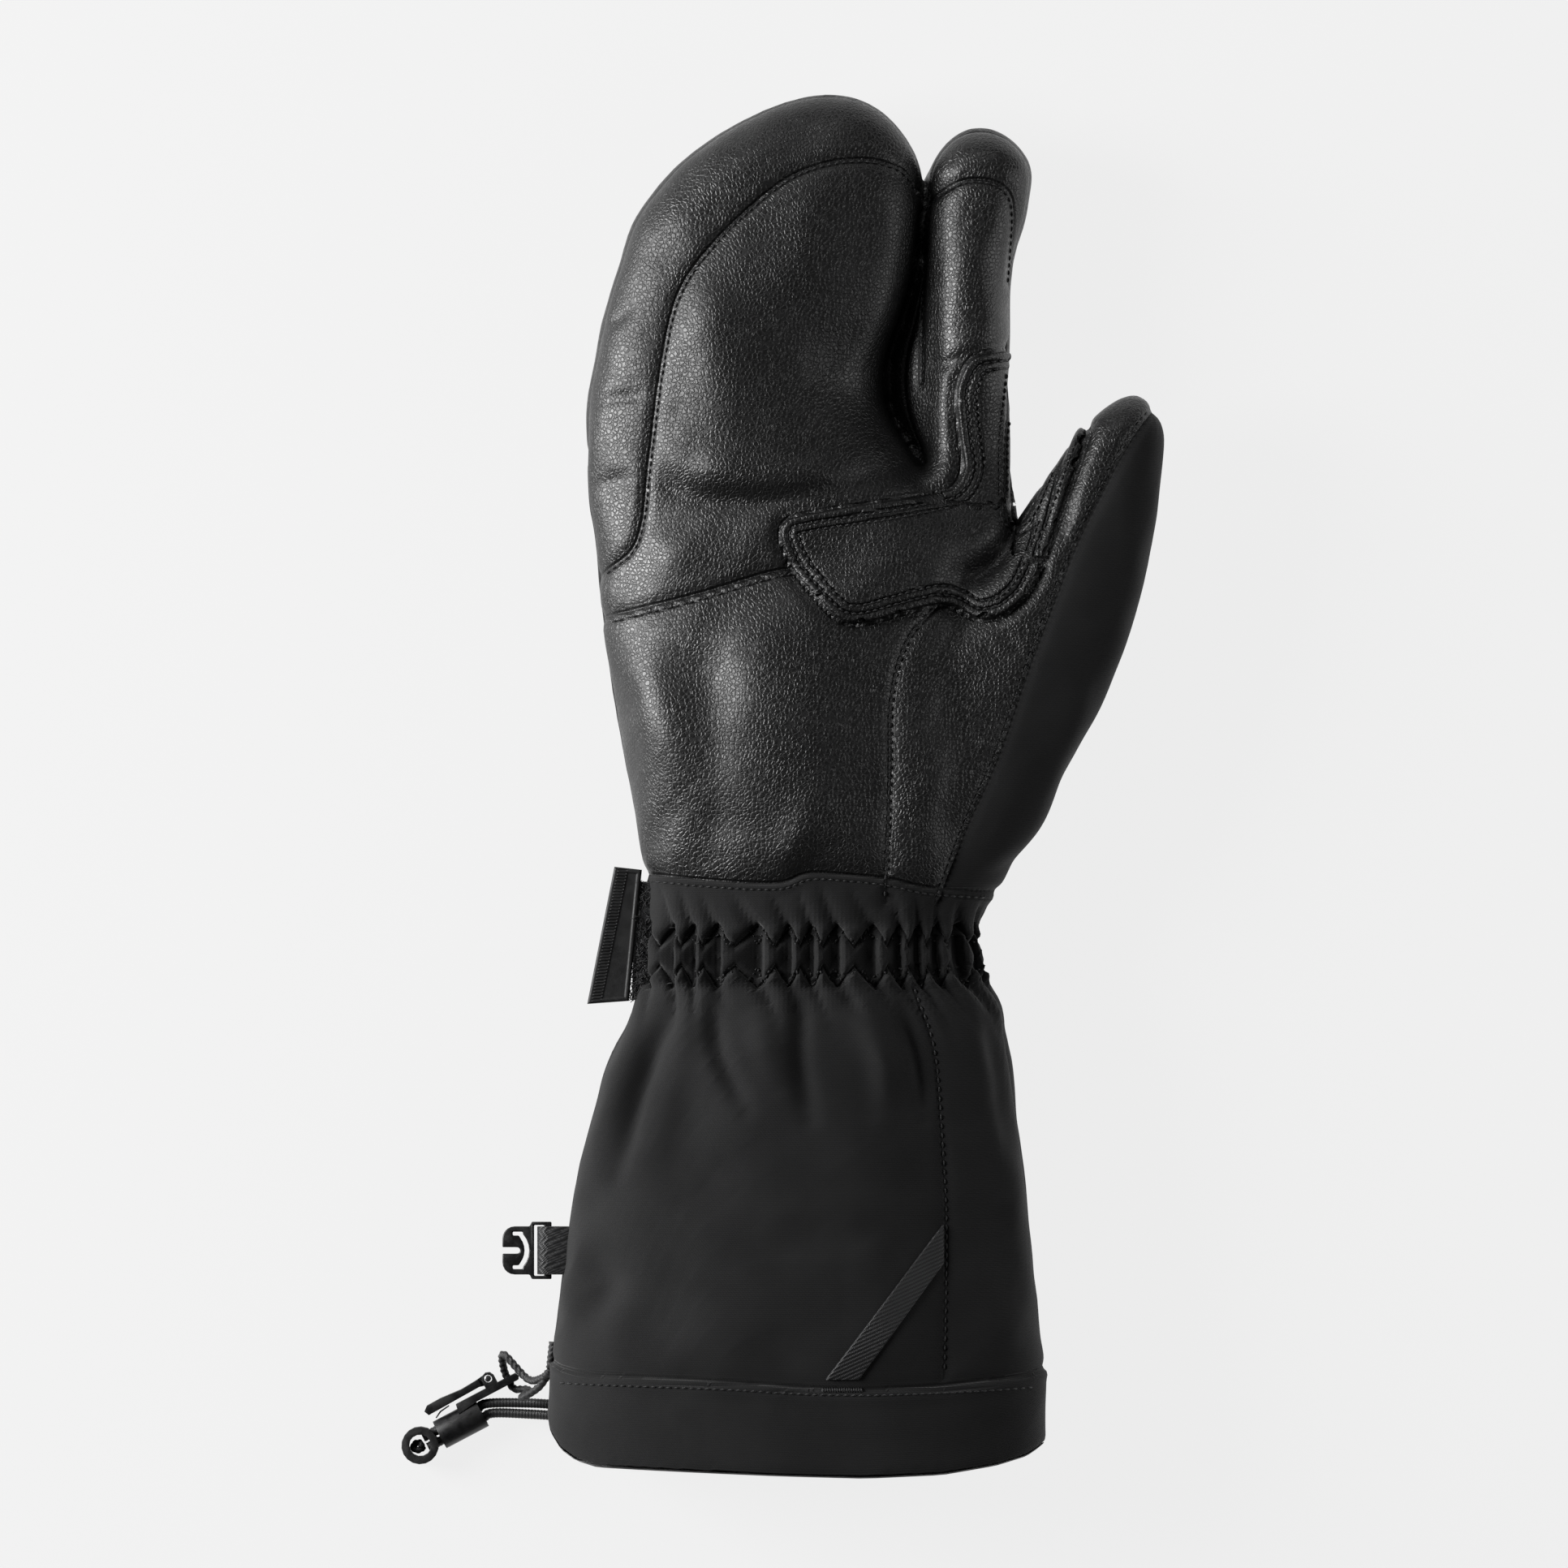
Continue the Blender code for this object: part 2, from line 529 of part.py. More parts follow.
def smooth_route(points, spacing):
    """Evenly spaced points on the Catmull-Rom curve through a route's own points."""
    ends = [points[0] * 2 - points[1]] + points + [points[-1] * 2 - points[-2]]
    fine = []
    for a, b, c, d in zip(ends, ends[1:], ends[2:], ends[3:], strict=False):
        for i in range(20):
            t = i / 20
            fine.append(0.5 * (2 * b + (c - a) * t + (2 * a - 5 * b + 4 * c - d) * t ** 2
                               + (3 * b - a - 3 * c + d) * t ** 3))
    fine.append(points[-1])
    lengths = [0.0]
    for a, b in zip(fine, fine[1:], strict=False):
        lengths.append(lengths[-1] + (b - a).length)
    steps = max(2, round(lengths[-1] / (2 * spacing)))
    spots, k = [], 0
    for i in range(steps + 1):
        want = lengths[-1] * i / steps
        while k < len(fine) - 2 and lengths[k + 1] < want:
            k += 1
        share = (want - lengths[k]) / (lengths[k + 1] - lengths[k])
        spots.append(fine[k].lerp(fine[k + 1], share))
    return spots


def make_clip():
    """The glove clip: a flat hook that swings on a loop of webbing sewn into the gauntlet's side seam."""
    inner, outer = 1.7, 1.7 + WEBBING_THICK
    half_turn = (math.pi / 2, 3 * math.pi / 2)
    loop = circle(0, 0, outer, 9, *half_turn) + circle(0, 0, inner, 7, *half_turn[::-1])
    seam = 3.6  # from the bar to the side seam
    loop = [(seam, outer)] + loop[:9] + [(seam, -outer), (seam, -inner)] + loop[9:] + [(seam, inner)]
    webbing = along_y(loop, -WEBBING_WIDE / 2, WEBBING_WIDE / 2)
    bridge = box(seam - 1.2, seam - 0.2, -WEBBING_WIDE / 2, WEBBING_WIDE / 2, -outer, outer)
    webbing = combined(webbing, bridge, "UNION")
    place("clip_webbing_loop", webbing, WEBBING, (CLIP_BAR_X, CLIP_Y, CLIP_Z), (0, 0, 0))

    corner = 3.2
    left, wide, frame_wide, frame_left = -11.9, 6.3, 7.5, -4.8
    outline = (circle(left + corner, wide - corner, corner, 6, math.pi / 2, math.pi)
               + circle(left + corner, corner - wide, corner, 6, math.pi, 3 * math.pi / 2)
               + [(frame_left, -wide), (frame_left + 0.6, -frame_wide), (0.95, -frame_wide),
                  (0.95, frame_wide), (frame_left + 0.6, frame_wide), (frame_left, wide)])
    thick = CLIP_THICK / 2
    plate = prism(outline, -thick, thick)
    centre_slot = [(left - 1, -0.85), (-8.4, -0.85)] + circle(-8.1, 0, 0.85, 5, -1.2, 1.2) + [
        (-8.4, 0.85), (left - 1, 0.85)]
    slit = ([(-9.2, 4.9), (-6.6, 4.9)] + circle(-11.3, 0, 6.4, 7, 0.72, -0.72) + [(-6.6, -4.9), (-9.2, -4.9)]
            + [(-9.2, -3.9), (-7.6, -3.9)] + circle(-11.3, 0, 5.2, 7, -0.66, 0.66)
            + [(-7.6, 3.9), (-9.2, 3.9)])
    webbing_slot = rectangle(-3.6, -0.95, -WEBBING_WIDE / 2 - 0.4, WEBBING_WIDE / 2 + 0.4)
    for hole in (centre_slot, slit, webbing_slot):
        plate = combined(plate, prism(hole, -thick - 1, thick + 1), "DIFFERENCE")
    place("clip_hook", plate, PLASTIC, (CLIP_BAR_X, CLIP_Y, CLIP_Z), (0, 0, 0))


def make_lock():
    """The cord lock: an oval barrel for the two cords, a tongue with an eye, and a sprung lever on top."""
    oval = [(3.95 * y, 3.6 * z) for y, z in circle(0, 0, 1, 16)]
    slot_wide, slot_tall = CORD_PITCH + CORD_WIDE + 0.6, CORD_WIDE + 0.6
    body = along_x(oval, -5.6, 7.0)
    tongue = [(1.5, 2.6), (7.5, 3.3), (19.6, 3.3), (20.2, 4.2), (19.6, 5.2), (2.0, 5.2)]
    body = combined(body, prism(tongue, -2.9, 2.9), "UNION")
    ear = [(10.9, 4.6), (14.3, 4.6), (14.3, 7.4)] + circle(*LEVER_PIN, 1.7, 5, 0.15, math.pi - 0.15)
    ear.append((10.9, 7.4))
    for low, high in ((-2.9, -2.1), (2.1, 2.9)):
        body = combined(body, prism(ear, low, high), "UNION")
    for cutter in (box(-9, 9, -slot_wide / 2, slot_wide / 2, -slot_tall / 2, slot_tall / 2),
                   along_y([(x, z) for x, z in circle(EYE_X, 0, 1.6, 10)], 2, 7),
                   prism(circle(*LEVER_PIN, 1.1, 10), -4, 4)):
        body = combined(body, cutter, "DIFFERENCE")
    place("cord_lock_body", body, PLASTIC, LOCK_AT, (0, 0, LOCK_TILT))
    place("cord_lock_pin", prism(circle(*LEVER_PIN, 0.8, 10), -3.3, 3.3), STEEL, LOCK_AT, (0, 0, LOCK_TILT))

    pad = [(-5.6, 6.0), (10.2, 6.4), (10.2, 8.3), (5.0, 8.0), (-1.0, 8.5), (-5.0, 8.4), (-6.2, 7.4)]
    arm = [(9.0, 6.5), (12.0, 5.7)] + circle(*LEVER_PIN, 1.5, 7, -math.pi / 2, math.pi / 2) + [(9.0, 8.2)]
    lever = combined(prism(pad, -3.1, 3.1), prism(arm, -1.7, 1.7), "UNION")
    lever = combined(lever, prism(circle(*LEVER_PIN, 1.1, 10), -4, 4), "DIFFERENCE")
    lever = turned(lever, Matrix.Translation(-Vector((*LEVER_PIN, 0)) * MM))
    place("cord_lock_lever", lever, PLASTIC, in_lock(*LEVER_PIN), (0, 0, LOCK_TILT))
    leaf = [(-4.2, 4.3), (-2.4, 5.2), (0.2, 5.55), (0.2, 5.85), (-2.6, 5.55), (-4.4, 4.6)]
    place("cord_lock_spring", prism(leaf, -1.8, 1.8), STEEL, LOCK_AT, (0, 0, LOCK_TILT))

    ring = prism(circle(RING_X, 0, RING_OUTER, 18), -RING_TALL / 2, RING_TALL / 2)
    for cutter in (prism(circle(RING_X, 0, RING_INNER, 14), -9, 9),
                   box(RING_X, -4, -slot_wide / 2, slot_wide / 2, -slot_tall / 2, slot_tall / 2)):
        ring = combined(ring, cutter, "DIFFERENCE")
    place("cord_end", ring, RUBBER, LOCK_AT, (0, 0, LOCK_TILT))
    knot = prism(circle(RING_X - 0.9, 0, 1.75, 10), -1.6, 1.6)
    place("cord_knot", knot, CORD, LOCK_AT, (0, 0, LOCK_TILT))


def make_cords():
    """The drawcord, in the hem's tunnel and out to the cord end, and the tether that keeps the lock."""
    left, right, back, palm = (side + change for side, change in zip(
        trunk_at(MAIN_TRUNK, EXIT_Y), (CORD_DEPTH, -CORD_DEPTH, CORD_DEPTH, -CORD_DEPTH), strict=True))
    tunnel, turns = [], 40
    first, last = math.radians(220.8), math.radians(227.8 - 360 + 6.0)
    for i in range(turns + 1):
        angle = first + (last - first) * i / turns
        c, s = math.cos(angle), math.sin(angle)
        tunnel.append(((left + right) / 2 + math.copysign(abs(c) ** (2 / SQUARENESS), c) * (right - left) / 2,
                       EXIT_Y + CORD_PITCH * (0.5 - i / turns),
                       (back + palm) / 2 + math.copysign(abs(s) ** (2 / SQUARENESS), s) * (palm - back) / 2))
    tube("hem_drawcord", tunnel, CORD_WIDE, CORD)
    for name, side in (("drawcord_end_upper", 1), ("drawcord_end_lower", -1)):
        y = side * CORD_PITCH / 2
        route = [(-50.8, EXIT_Y + y, EXIT_Z), (-56.0, EXIT_Y + y, EXIT_Z), (-64.0, EXIT_Y + y, 8.4),
                 (-74.0, EXIT_Y + y + 0.5, 6.0), in_lock(9.5, y, 0.1), in_lock(6.0, y), in_lock(0, y),
                 in_lock(-5.6, y), in_lock(RING_X + 1.6, y)]
        tube(name, route, CORD_WIDE, CORD)
    x, y, z = TACK_AT
    tether = [(x - 0.2, y - 4.1, z), (x - 2.4, y - 6.2, z - 4), (x - 6.2, y - 6.6, z - 11),
              in_lock(19.4, 11.0, 5.5), in_lock(EYE_X + 0.3, 7.6, 1.4), in_lock(EYE_X, 4.4),
              in_lock(EYE_X + 0.3, 1.6, 0.2),
              in_lock(20.6, -0.2, 2.6), (x - 7.6, y - 11.5, z - 10), (x - 3.4, y - 8.8, z - 5),
              (x - 0.9, y - 5.6, z - 2.7)]
    tube("tether_cord", tether, TETHER_WIDE, CORD)
    place("tether_tack", box(-1.2, 1.2, -3.0, 3.0, -2.2, 2.2), CORD, TACK_AT, (0, 0, 0))


def make_strap():
    """The wrist strap round the back of the cuff, and the moulded tab that peels off its loop strip."""
    around = rectangle(-FAR, FAR, -9.0, 9.0)
    panel("wrist_strap", "wrist", WEBBING, STRAP, around, heights=(BELOW, CUFF_SEAM_Z - GAP / 2))
    place("strap_tab", prism(TAB, TAB_LOW, TAB_LOW + TAB_THICK), RUBBER, TAB_JOINT)
    place("strap_hook_patch", prism(inset(TAB, 1.0), TAB_LOW - 1.2, TAB_LOW - 0.3), WEBBING, TAB_JOINT)
    strip = [(-47.4, -11.5), (-44.9, -11.5), (-42.8, -5), (-43.2, 19.0), (-44.6, 19.5), (-46.2, 8)]
    place("strap_loop_strip", prism(strip, TAB_LOW - 1.0, TAB_LOW + 1.4), WEBBING)


def make_ribbon():
    """The woven pull ribbon, sewn down across the gauntlet's palm side."""
    panel("ribbon_pull", "gauntlet", WEBBING, OVERLAY, RIBBON, heights=(35.0, ABOVE))


make_shell()
make_overlays()
make_gauntlet()
make_insides()
make_clip()
make_lock()
make_cords()
make_strap()
make_ribbon()
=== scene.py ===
"""The visual model of the three-finger ski mitt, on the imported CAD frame.

Tables of seams and cross-sections are in the hand frame, in millimetres: the origin is on the wrist crease,
+X points to the thumb, +Y to the fingertips and +Z out of the palm. HAND_ORIGIN, from the wrist joint, turns
them into the row frame. One closed skin is made from the cross-sections, puffed by a cloth simulation,
wrinkled and pleated, and then cut along its seams into the sewn pieces.
"""

import json
import math

import bmesh
import bpy
import numpy as np
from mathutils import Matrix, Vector
from mathutils.bvhtree import BVHTree
from mathutils.kdtree import KDTree

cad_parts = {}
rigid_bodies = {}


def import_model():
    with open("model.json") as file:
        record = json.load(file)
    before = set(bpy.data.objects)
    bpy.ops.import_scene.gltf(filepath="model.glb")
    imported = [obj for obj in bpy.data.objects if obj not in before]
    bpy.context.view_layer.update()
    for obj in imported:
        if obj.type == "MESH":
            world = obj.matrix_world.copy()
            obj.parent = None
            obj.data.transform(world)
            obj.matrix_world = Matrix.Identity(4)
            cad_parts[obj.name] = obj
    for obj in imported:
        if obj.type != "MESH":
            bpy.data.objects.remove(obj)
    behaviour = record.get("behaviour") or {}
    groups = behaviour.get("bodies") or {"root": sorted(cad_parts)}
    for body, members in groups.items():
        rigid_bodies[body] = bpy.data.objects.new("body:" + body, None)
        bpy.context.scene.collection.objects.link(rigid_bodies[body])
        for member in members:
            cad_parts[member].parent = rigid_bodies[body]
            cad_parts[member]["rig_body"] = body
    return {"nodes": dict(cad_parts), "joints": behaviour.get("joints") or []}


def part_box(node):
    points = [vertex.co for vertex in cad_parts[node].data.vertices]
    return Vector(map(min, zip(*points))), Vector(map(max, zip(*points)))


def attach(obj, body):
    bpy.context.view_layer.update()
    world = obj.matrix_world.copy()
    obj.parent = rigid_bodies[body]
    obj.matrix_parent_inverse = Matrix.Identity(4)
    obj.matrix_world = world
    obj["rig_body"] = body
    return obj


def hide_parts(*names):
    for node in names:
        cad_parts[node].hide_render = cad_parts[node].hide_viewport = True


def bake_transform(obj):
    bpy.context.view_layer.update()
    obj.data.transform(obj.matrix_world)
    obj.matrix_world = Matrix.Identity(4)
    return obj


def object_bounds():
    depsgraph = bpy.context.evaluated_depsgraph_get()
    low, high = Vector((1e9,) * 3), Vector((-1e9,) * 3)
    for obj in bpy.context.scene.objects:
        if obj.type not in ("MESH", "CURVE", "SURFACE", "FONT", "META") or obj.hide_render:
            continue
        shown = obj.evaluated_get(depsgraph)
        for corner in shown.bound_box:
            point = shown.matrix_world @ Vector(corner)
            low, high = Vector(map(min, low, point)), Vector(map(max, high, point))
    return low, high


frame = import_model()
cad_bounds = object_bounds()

MM = 0.001
JOINTS = {joint["name"]: joint for joint in frame["joints"]}
HAND_ORIGIN = np.array([*JOINTS["wrist_flex"]["pos_m"][:2], 0.0])

# Cross-sections: (y, left, right, back, palm) of each limb.
MAIN_TRUNK = [
    (-135.4, -69.0, 61.0, 0.0, 62.0), (-108.8, -67.6, 60.6, 0.0, 62.0), (-72.7, -63.8, 57.0, 0.0, 58.0),
    (-43.0, -57.4, 54.0, 1.0, 55.0), (-24.0, -51.2, 51.4, 4.0, 52.0), (-13.2, -44.6, 48.2, 6.5, 50.0),
    (-5.7, -42.0, 43.6, 8.0, 48.5), (7.4, -41.9, 41.9, 8.0, 48.5), (18.7, -42.4, 49.4, 5.4, 50.0),
    (28.0, -44.4, 53.4, 3.2, 51.0), (40.0, -46.8, 54.0, 1.2, 51.5), (63.0, -51.0, 52.0, 0.0, 52.0),
    (84.6, -54.2, 52.0, 0.0, 50.0), (101.6, -55.8, 53.0, 0.5, 48.0), (110.5, -56.8, 52.8, 1.0, 47.0),
    (118.5, -58.0, 45.5, 1.2, 46.0), (126.0, -58.4, 31.9, 1.4, 45.5), (133.0, -58.4, 25.5, 1.5, 45.0),
    (144.5, -58.2, 19.6, 1.5, 44.5), (155.0, -56.5, 19.1, 1.8, 44.0), (169.0, -53.6, 23.6, 2.3, 43.5),
    (180.0, -50.2, 26.8, 3.0, 43.0), (193.0, -45.5, 28.8, 4.0, 42.0), (204.6, -37.0, 29.0, 5.5, 40.5),
    (225.5, -20.2, 29.4, 10.0, 37.0),
]
INDEX_TRUNK = [
    (98.0, 30.6, 52.5, 4.0, 42.0), (111.0, 30.6, 52.8, 4.0, 41.0), (133.0, 30.6, 51.2, 4.5, 40.0),
    (160.0, 30.6, 51.9, 5.5, 38.0), (180.0, 30.6, 52.9, 6.5, 37.0), (198.0, 30.8, 56.7, 7.5, 36.0),
    (205.7, 31.4, 57.4, 8.5, 35.5), (216.7, 32.5, 55.7, 10.0, 34.0),
]
THUMB_TRUNK = [
    (22.0, 20.5, 49.5, 9.0, 45.0), (30.0, 20.0, 56.6, 8.0, 47.0), (48.5, 21.0, 66.5, 8.0, 47.0),
    (69.7, 24.0, 76.9, 10.0, 47.0), (91.0, 35.0, 84.6, 12.0, 46.0), (101.6, 43.5, 87.3, 13.0, 45.0),
    (111.0, 53.4, 89.2, 14.0, 44.0), (122.8, 61.4, 90.7, 15.0, 43.0), (133.5, 68.6, 91.6, 16.0, 41.5),
    (146.3, 77.0, 91.6, 18.0, 39.0),
]
MAIN_TIP, INDEX_TIP, THUMB_TIP = 24.0, 13.0, 11.0
SQUARENESS = 2.4
RING_STEP = 2.5
RING_SIDES = 72
SLIT_GAP = 1.9  # left between the mitt and the index finger's wall, which follows it underneath
MOST_LEAN = 13.0

# Seams on the palm side, as seen along Z.
DIAGONAL_SEAM = [(-64, 86.5), (-32, 94.1), (-7, 101.2), (12, 102.0), (34, 92.4)]
GUSSET_SEAM = [(34, 92.4), (25.5, 82.5), (21.3, 67.6), (20.8, 46.3), (19.5, 14)]
THUMB_SEAM = [(33, 14), (40.4, 33.6), (48.9, 52.7), (56.3, 74), (65.9, 99.5), (72.3, 114.3), (83.9, 135.6),
              (96, 150)]
MITT_SEAM = [(-70, 88), (-54.2, 100.5), (-45.7, 109), (-42.5, 131.3), (-39.3, 154.7), (-35, 172.8),
             (-25.5, 186.6), (-10.6, 200.4), (0, 206.3), (12.8, 208.5), (23.4, 206.1), (28.2, 200.4)]
INDEX_SEAM = [(28.3, 150), (28.7, 186), (29.8, 196), (37.2, 201.9), (43.6, 203.2), (50, 201.4), (53.1, 195),
              (52.1, 176)]
GAUNTLET_SEAM = [(26.6, -7.9), (31.9, -23.8), (34.0, -47.2), (35.1, -72.7), (34.4, -110)]
WRIST_SEAM = [(-60, 21.3), (-42.5, 21.3), (-25.5, 19.8), (-8.5, 19.3), (0, 21.9), (19.1, 20.4), (35, 17.6),
              (80, 15.9)]
HEM_SEAM = [(-90, -108.8), (-29.8, -110.3), (4.3, -112), (34, -111.6), (90, -108.8)]
MOUTH = [(-69.6, -119), (-68.2, -124.5), (-65.4, -128.6), (-61.5, -131.2), (-56, -132.8), (-30, -133.9),
         (-8, -134.8), (14, -135.4), (34, -134.6), (48, -132.4), (56, -130.2), (61.5, -127)]
GRIP_PATCH = [(56, 158.5), (50, 158.4), (41.4, 156.8), (37.8, 148.3), (38.9, 135.6), (40, 127), (37.2, 121.8),
              (19.1, 118.2), (2.1, 115.8), (-6.8, 113.9), (-8.5, 110), (-5.3, 101.6), (2.1, 92), (7.4, 87.1),
              (12.8, 86.7), (23.4, 89.9), (34, 92.7), (39.3, 90.5), (43.6, 87.8), (49.9, 88.8), (56.3, 94.1),
              (60.6, 103.7), (68, 125), (73, 138), (66, 140), (57, 118), (53.5, 113), (53.5, 135)]
TAB = [(-51.6, 23.4), (-58.7, -12.5), (-47.8, -11.7), (-46.6, 8), (-44.4, 22.6)]
RIBBON = [(34.0, -69.5), (34.0, -80.5), (12.6, -109.6), (3.4, -109.6)]

WRIST_LOW = -15.0
SIDE_SEAM_Z, CUFF_SEAM_Z = 25.0, 30.0
FINGER_LOW = 118.0  # below it everything rides on the hand
FINGER_SPLIT_X, THUMB_CROTCH_X, THUMB_WEB_Y = 29.75, 53.2, 149.0
SLIT_REACH = 17.0
BACK_SEAM_Y = 131.0

# Where each limb bends, in the hand frame.
WRIST_BEND = (-15.0, 15.0)
FINGER_BEND = (131.0, 157.0)
THUMB_JOINT = np.array(JOINTS["thumb_flex"]["pos_m"]) / MM - HAND_ORIGIN / MM
THUMB_ALONG = np.array([-JOINTS["thumb_flex"]["axis"][1], JOINTS["thumb_flex"]["axis"][0], 0.0])

# Folds of the cloth, as (points, width, height): a valley has a negative height.
FOLDS = [
    ([(-42.5, 131.3), (-36.1, 122.8), (-21.3, 118.4), (0, 120.3), (17, 124.5), (23.4, 127)], 3.4, -1.7),
    ([(-33, 131.0), (-14.9, 125.5), (2.1, 126.5), (14.9, 131.3)], 5.0, 1.2),
    ([(-42.5, 114.3), (-28, 112.2), (-15, 111)], 6.0, -1.0),
    ([(-41.0, 84.0), (-38.5, 58.0), (-37.0, 28.0)], 5.5, 1.3),
    ([(-27.0, 84.0), (-25.5, 55.0), (-24.5, 27.0)], 6.0, -1.2),
    ([(-3.0, 80.5), (6.0, 74.0), (14.0, 71.0)], 1.0, -0.35),
    ([(2.0, 84.0), (9.0, 79.5)], 1.0, -0.35),
    ([(-31.0, 186.0), (-24.0, 160.0), (-21.0, 132.0)], 7.0, 0.9),
    ([(29.8, 155.8), (35, 154.7), (40.4, 158.4)], 1.4, -1.0),
    ([(-57.4, 144), (-51, 145.8), (-42.5, 146.6)], 1.5, -0.7),
    ([(-55.3, 163.8), (-50.5, 166.0), (-47.2, 169.5)], 1.2, -0.6),
    ([(-58, 122), (-52, 124.5), (-46, 125.5)], 1.6, -0.5),
    ([(37.5, 99.0), (42.5, 99.5), (47.5, 103.5), (51, 108)], 3.6, -3.4),
    ([(44.0, 82.0), (49.0, 78.0), (53.0, 79.5)], 1.4, -0.5),
    ([(50.0, 84.0), (54.5, 79.0), (57.0, 75.5)], 1.3, -0.6),
    ([(72.3, 137.1), (63.8, 114.3), (59.5, 95.2)], 1.3, -0.9),
    ([(70.8, 129.2), (65.9, 110.1), (64.8, 100.5)], 1.1, -0.8),
    ([(68.5, 124), (62.5, 106), (61, 97)], 1.6, 0.7),
    ([(-8.5, 22), (-3.2, 32), (1.0, 46.3)], 4.0, 0.7),
    ([(-41.0, -13.0), (-50.0, -36.0), (-58.0, -62.0)], 3.2, 1.9),
    ([(-34.0, -11.0), (-43.0, -30.0), (-50.0, -58.0)], 2.6, -2.9),
    ([(-29.0, -14.0), (-36.0, -32.0), (-41.0, -56.0)], 4.0, 1.3),
    ([(-25.3, -9.0), (-24.0, -24.4), (-16.6, -40.3)], 2.3, -2.6),
    ([(-3.0, -9.0), (-3.0, -27.0), (-0.4, -42.5)], 2.3, -2.5),
    ([(10.8, -10.0), (18.3, -27.0), (19.6, -41.5)], 3.4, 2.2),
    ([(-14.0, -12.0), (-12.0, -24.0), (-8.0, -36.0)], 4.0, 1.5),
    ([(22.5, -10.0), (27.5, -26.0), (30.0, -42.0)], 2.0, -2.4),
    ([(44.0, -10.0), (48.5, -28.0), (50.5, -50.0)], 3.2, -2.0),
    ([(-62.7, -80.5), (-54.0, -86.0), (-60.1, -95.4)], 4.6, -2.6),
    ([(-48.0, -60.0), (-44.0, -84.0), (-52.0, -104.0)], 8.0, 1.5),
    ([(-30.0, -60.0), (-8.0, -84.0), (10.0, -86.0)], 12.0, 0.9),
    ([(8.0, -52.0), (20.0, -70.0), (22.0, -84.0)], 8.0, -0.7),
]
PLEAT_PITCH = 7.86
ZIGZAG_ROWS = (5.4, -5.2)  # middles of the two stitched rows of the shirring
ZIGZAG_REACH = 2.65
ZIGZAG_GROOVE = 0.7

MOUTH_CUT = 1.2  # the closed end of the skin that is cut away
REMESH_FINE, REMESH_COARSE = 1.15, 4.0
MOST_PUFF = 2.2
ROOT_SOFTNESS = 260.0  # square millimetres over which the finger roots are smoothed

CLOTH_FRAMES = 18
VIEW_PER_GLOVE = 1.1385  # the side of the view over the glove's length
VIEW_ASIDE = 0.9  # how far right of the box's middle the camera stands

random_numbers = np.random.default_rng(7)


# ---------------------------------------------------------------- camera, floor and light

def make_stage():
    """A camera straight above, a pale floor, and softboxes left, right and past the fingertips."""
    scene = bpy.context.scene
    low, high = (np.array(corner) for corner in cad_bounds)
    glove_low, glove_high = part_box("hem_band_palm")[0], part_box("mitt_back_leather")[1]
    middle_y = (glove_low.y + glove_high.y) / 2
    frame_side = (glove_high.y - glove_low.y) * VIEW_PER_GLOVE
    middle_x = (low[0] + high[0]) / 2 + VIEW_ASIDE * MM
    lens, sensor, silhouette_height = 400.0, 36.0, 30 * MM
    height = silhouette_height + frame_side * lens / sensor
    camera = bpy.data.cameras.new("camera")
    camera.lens = lens
    camera.sensor_width = sensor
    camera_object = bpy.data.objects.new("camera", camera)
    camera_object.location = (middle_x, middle_y, height)
    scene.collection.objects.link(camera_object)
    scene.camera = camera_object

    half = 3.0
    floor_mesh = bpy.data.meshes.new("floor")
    corners = [(-half, -half, 0), (half, -half, 0), (half, half, 0), (-half, half, 0)]
    floor_mesh.from_pydata(corners, [], [(0, 1, 2, 3)])
    floor = bpy.data.objects.new("floor", floor_mesh)
    floor.location = (0, 0, -0.6 * MM)
    scene.collection.objects.link(floor)
    paper = bpy.data.materials.new("floor_paper")
    paper.use_nodes = True
    shader = paper.node_tree.nodes["Principled BSDF"]
    shader.inputs["Base Color"].default_value = (0.05, 0.05, 0.05, 1)
    shader.inputs["Roughness"].default_value = 0.95
    shader.inputs["Specular IOR Level"].default_value = 0.1
    shader.inputs["Emission Color"].default_value = (1, 1, 1, 1)
    shader.inputs["Emission Strength"].default_value = 0.83
    floor_mesh.materials.append(paper)

    def softbox(name, place, size, power):
        light = bpy.data.lights.new(name, "AREA")
        light.shape = "RECTANGLE"
        light.size, light.size_y = size
        light.energy = power
        found = bpy.data.objects.new(name, light)
        found.location = place
        aim = Vector((middle_x, middle_y, 0.03)) - Vector(place)
        found.rotation_euler = aim.to_track_quat("-Z", "Y").to_euler()
        scene.collection.objects.link(found)

    softbox("softbox_left", (-1.25, 0.25, 0.55), (0.6, 1.1), 40.0)
    softbox("softbox_right", (1.2, 0.0, 0.4), (0.6, 1.2), 5.0)
    softbox("softbox_top", (-0.3, 1.1, 0.8), (1.2, 0.5), 2.5)
    world = bpy.data.worlds.new("world")
    world.use_nodes = True
    world.node_tree.nodes["Background"].inputs["Color"].default_value = (1, 1, 1, 1)
    world.node_tree.nodes["Background"].inputs["Strength"].default_value = 0.04
    scene.world = world
    scene.view_settings.view_transform = "Standard"


# ---------------------------------------------------------------- curves and distances

